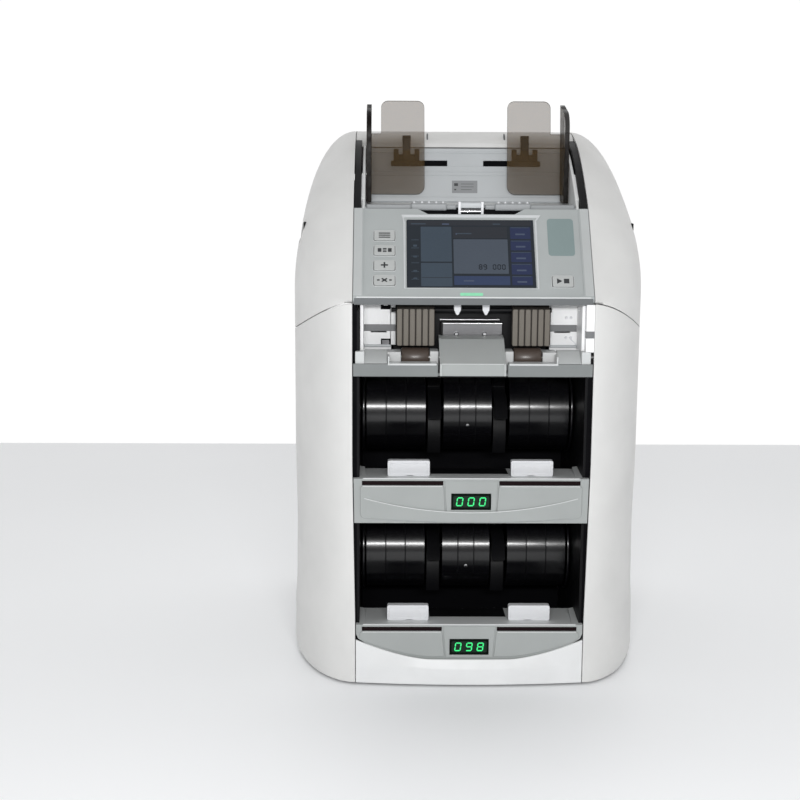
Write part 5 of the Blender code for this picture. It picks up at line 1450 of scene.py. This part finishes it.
# ------------------------------------------------------------------------------------------------ rear


def rear():
    """The access door's skin and its louvres, the mains inlet's pins and the switch's marks."""
    refined("rear_door", SHELL_WHITE, 0.6)
    skin_y = REAR + 3.0
    for i in range(9):
        z = 214.0 + i * 5.5
        # Each louvre opening is a thin black plate on the skin: painted shade for the dark behind it.
        slot = prism(rounded((-46, 40), (z - 1.1, z + 1.1), 1.0, 3), skin_y - 0.2, skin_y + 0.12)
        finished(f"door_louvre_{i}", slot, BLACK_AND_OPENING_SHADE, "rear_door")
        hood = prism([(skin_y - 0.2, z + 1.0), (skin_y + 1.1, z + 0.9), (skin_y - 0.2, z + 2.8)], -46, 40, "YZ")
        finished(f"door_hood_{i}", hood, SHELL_WHITE, "rear_door", 0.2)
    frame_line = ring(*[
        [(x, y, z) for x, z in rounded((-64 + inset, 66 - inset), (72 + inset, 262 - inset), 4)]
        for y, inset in ((skin_y - 0.2, 0.0), (skin_y + 0.5, 0.6), (skin_y + 0.5, 1.8), (skin_y - 0.2, 2.4))
    ])
    finished("door_rim", frame_line, SHELL_WHITE, "rear_door")
    inlet = cad_mesh("mains_inlet")
    finished("mains_inlet_body", inlet, GLOSS_BLACK, "base", 0.5, replaces=("mains_inlet",))
    for i, (x, z) in enumerate(((111.5, 29.0), (118.0, 33.5), (124.5, 29.0))):
        pin = box((x - 2.0, x + 2.0), (REAR - 15.5, REAR - 2.0), (z - 1.0, z + 1.0))
        finished(f"inlet_pin_{i}", pin, STEEL, "base", 0.4)
    refined("power_switch", GLOSS_BLACK, 0.5)
    switch_x, switch_y, switch_z = middle("power_switch")
    dash = box((switch_x - 0.4, switch_x + 0.4), (REAR + 0.2, REAR + 0.62), (switch_z + 3.4, switch_z + 7.0))
    finished("switch_line", dash, PAD_WHITE, "power_switch")
    circle = turned([(1.1, 0), (1.7, 0), (1.7, 0.3), (1.1, 0.3), (1.1, 0.001)], (0, 0, 0), sides=28)
    place = Matrix.Translation((switch_x, REAR + 0.30, switch_z - 5.2)) @ Matrix.Rotation(-math.pi / 2, 4, "X")
    finished("switch_ring", moved(circle, place), PAD_WHITE, "power_switch")
    screws = (("a", -128, 20), ("b", 128, 60), ("c", -128, 280), ("d", 128, 280), ("e", -84, 280), ("f", 84, 280))
    for name, x, z in screws:
        screw = turned([(0.01, -0.5), (3.0, -0.5), (3.0, 0.5), (2.3, 1.3), (0.01, 1.6)], (0, 0, 0), sides=28)
        turn = Matrix.Translation((x, REAR, z)) @ Matrix.Rotation(-math.pi / 2, 4, "X")
        screw = moved(screw, turn)
        slots = [box((x - 1.7, x + 1.7), (REAR + 1.0, REAR + 3), (z - 0.35, z + 0.35))]
        slots.append(box((x - 0.35, x + 0.35), (REAR + 1.0, REAR + 3), (z - 1.7, z + 1.7)))
        finished("rear_screw_" + name, carved(screw, *slots), STEEL, "base")
    for i in range(12):
        for side, hand in HANDS:
            x = both(side, 84, 128)
            z = 120.0 + i * 6.0
            # The vent slots are thin black plates: painted shade for the openings.
            slot = prism(rounded(x, (z - 1.2, z + 1.2), 1.1, 3), REAR - 0.3, REAR + 0.15)
            finished(f"rear_vent_{hand}_{i}", slot, BLACK_AND_OPENING_SHADE, "base")
    seam_band = prism(rounded((-78, 78), (326, 392), 5.0), REAR - 0.3, REAR + 0.5)
    finished("upper_rear_panel", seam_band, SHELL_WHITE, "upper_unit", 0.4)


rear()

# ------------------------------------------------------------------------------------------------ stage


def camera():
    """The camera stands left of the middle, a little above the machine, and looks slightly down and to the right."""
    pitch, yaw, roll = math.radians(10.5), math.radians(-0.70), math.radians(0.30)
    focal, wide = 1466.0, 800.0
    forward = Vector((-math.sin(yaw) * math.cos(pitch), math.cos(yaw) * math.cos(pitch), -math.sin(pitch)))
    right = Vector((math.cos(yaw), math.sin(yaw), 0.0))
    up = right.cross(forward)
    tilted_right = math.cos(roll) * right + math.sin(roll) * up
    tilted_up = math.cos(roll) * up - math.sin(roll) * right
    data = bpy.data.cameras.new("camera")
    data.sensor_width = 36.0
    data.lens = 36.0 * focal / wide
    eye = bpy.data.objects.new("camera", data)
    turn = Matrix((tilted_right, tilted_up, -forward)).transposed().to_4x4()
    turn.translation = Vector((-0.0775, FRONT * MM - 1.237, 0.487))
    eye.matrix_world = turn
    bpy.context.scene.collection.objects.link(eye)
    bpy.context.scene.camera = eye


def area_light(name, place, aim, wide, tall, power, colour=(1.0, 1.0, 1.0)):
    data = bpy.data.lights.new(name, "AREA")
    data.shape = "RECTANGLE"
    data.size, data.size_y = wide, tall
    data.energy = power
    data.color = colour
    lamp = bpy.data.objects.new(name, data)
    lamp.location = place
    lamp.rotation_euler = (Vector(aim) - Vector(place)).to_track_quat("-Z", "Y").to_euler()
    bpy.context.scene.collection.objects.link(lamp)


def stage():
    floor = bmesh.new()
    bmesh.ops.create_grid(floor, x_segments=1, y_segments=1, size=2600.0)
    bmesh.ops.translate(floor, vec=(0, -1750, 0), verts=floor.verts)
    bmesh.ops.scale(floor, vec=(MM, MM, MM), verts=floor.verts)
    data = bpy.data.meshes.new("floor")
    floor.to_mesh(data)
    floor.free()
    ground, tree, shader, place = blank("pale floor", (0.96, 0.97, 0.985), 0.45, specular=0.25)
    tone = blended(tree, spread(tree, noise(tree, place, 2.5, 3.0), 0, 1), (0.95, 0.96, 0.975), (0.97, 0.98, 0.995))
    tree.links.new(tone, shader.inputs["Base Color"])
    data.materials.append(ground)
    piece = bpy.data.objects.new("floor", data)
    bpy.context.scene.collection.objects.link(piece)

    world = bpy.data.worlds.new("studio")
    bpy.context.scene.world = world
    world.use_nodes = True
    tree = world.node_tree
    direction = add(tree, "TexCoord")
    split = add(tree, "SeparateXYZ")
    tree.links.new(direction.outputs["Generated"], split.inputs["Vector"])
    strength = spread(tree, split.outputs["Y"], 0.40, 1.02, -0.30, 0.40)
    tree.links.new(strength, tree.nodes["Background"].inputs["Strength"])
    tree.nodes["Background"].inputs["Color"].default_value = (1.0, 1.0, 1.0, 1.0)


camera()
stage()
area_light("front light", (-0.03, -1.42, 0.58), (0.0, FRONT * MM, 0.26), 0.46, 0.08, 9.0)
bpy.context.scene.view_settings.view_transform = "Standard"
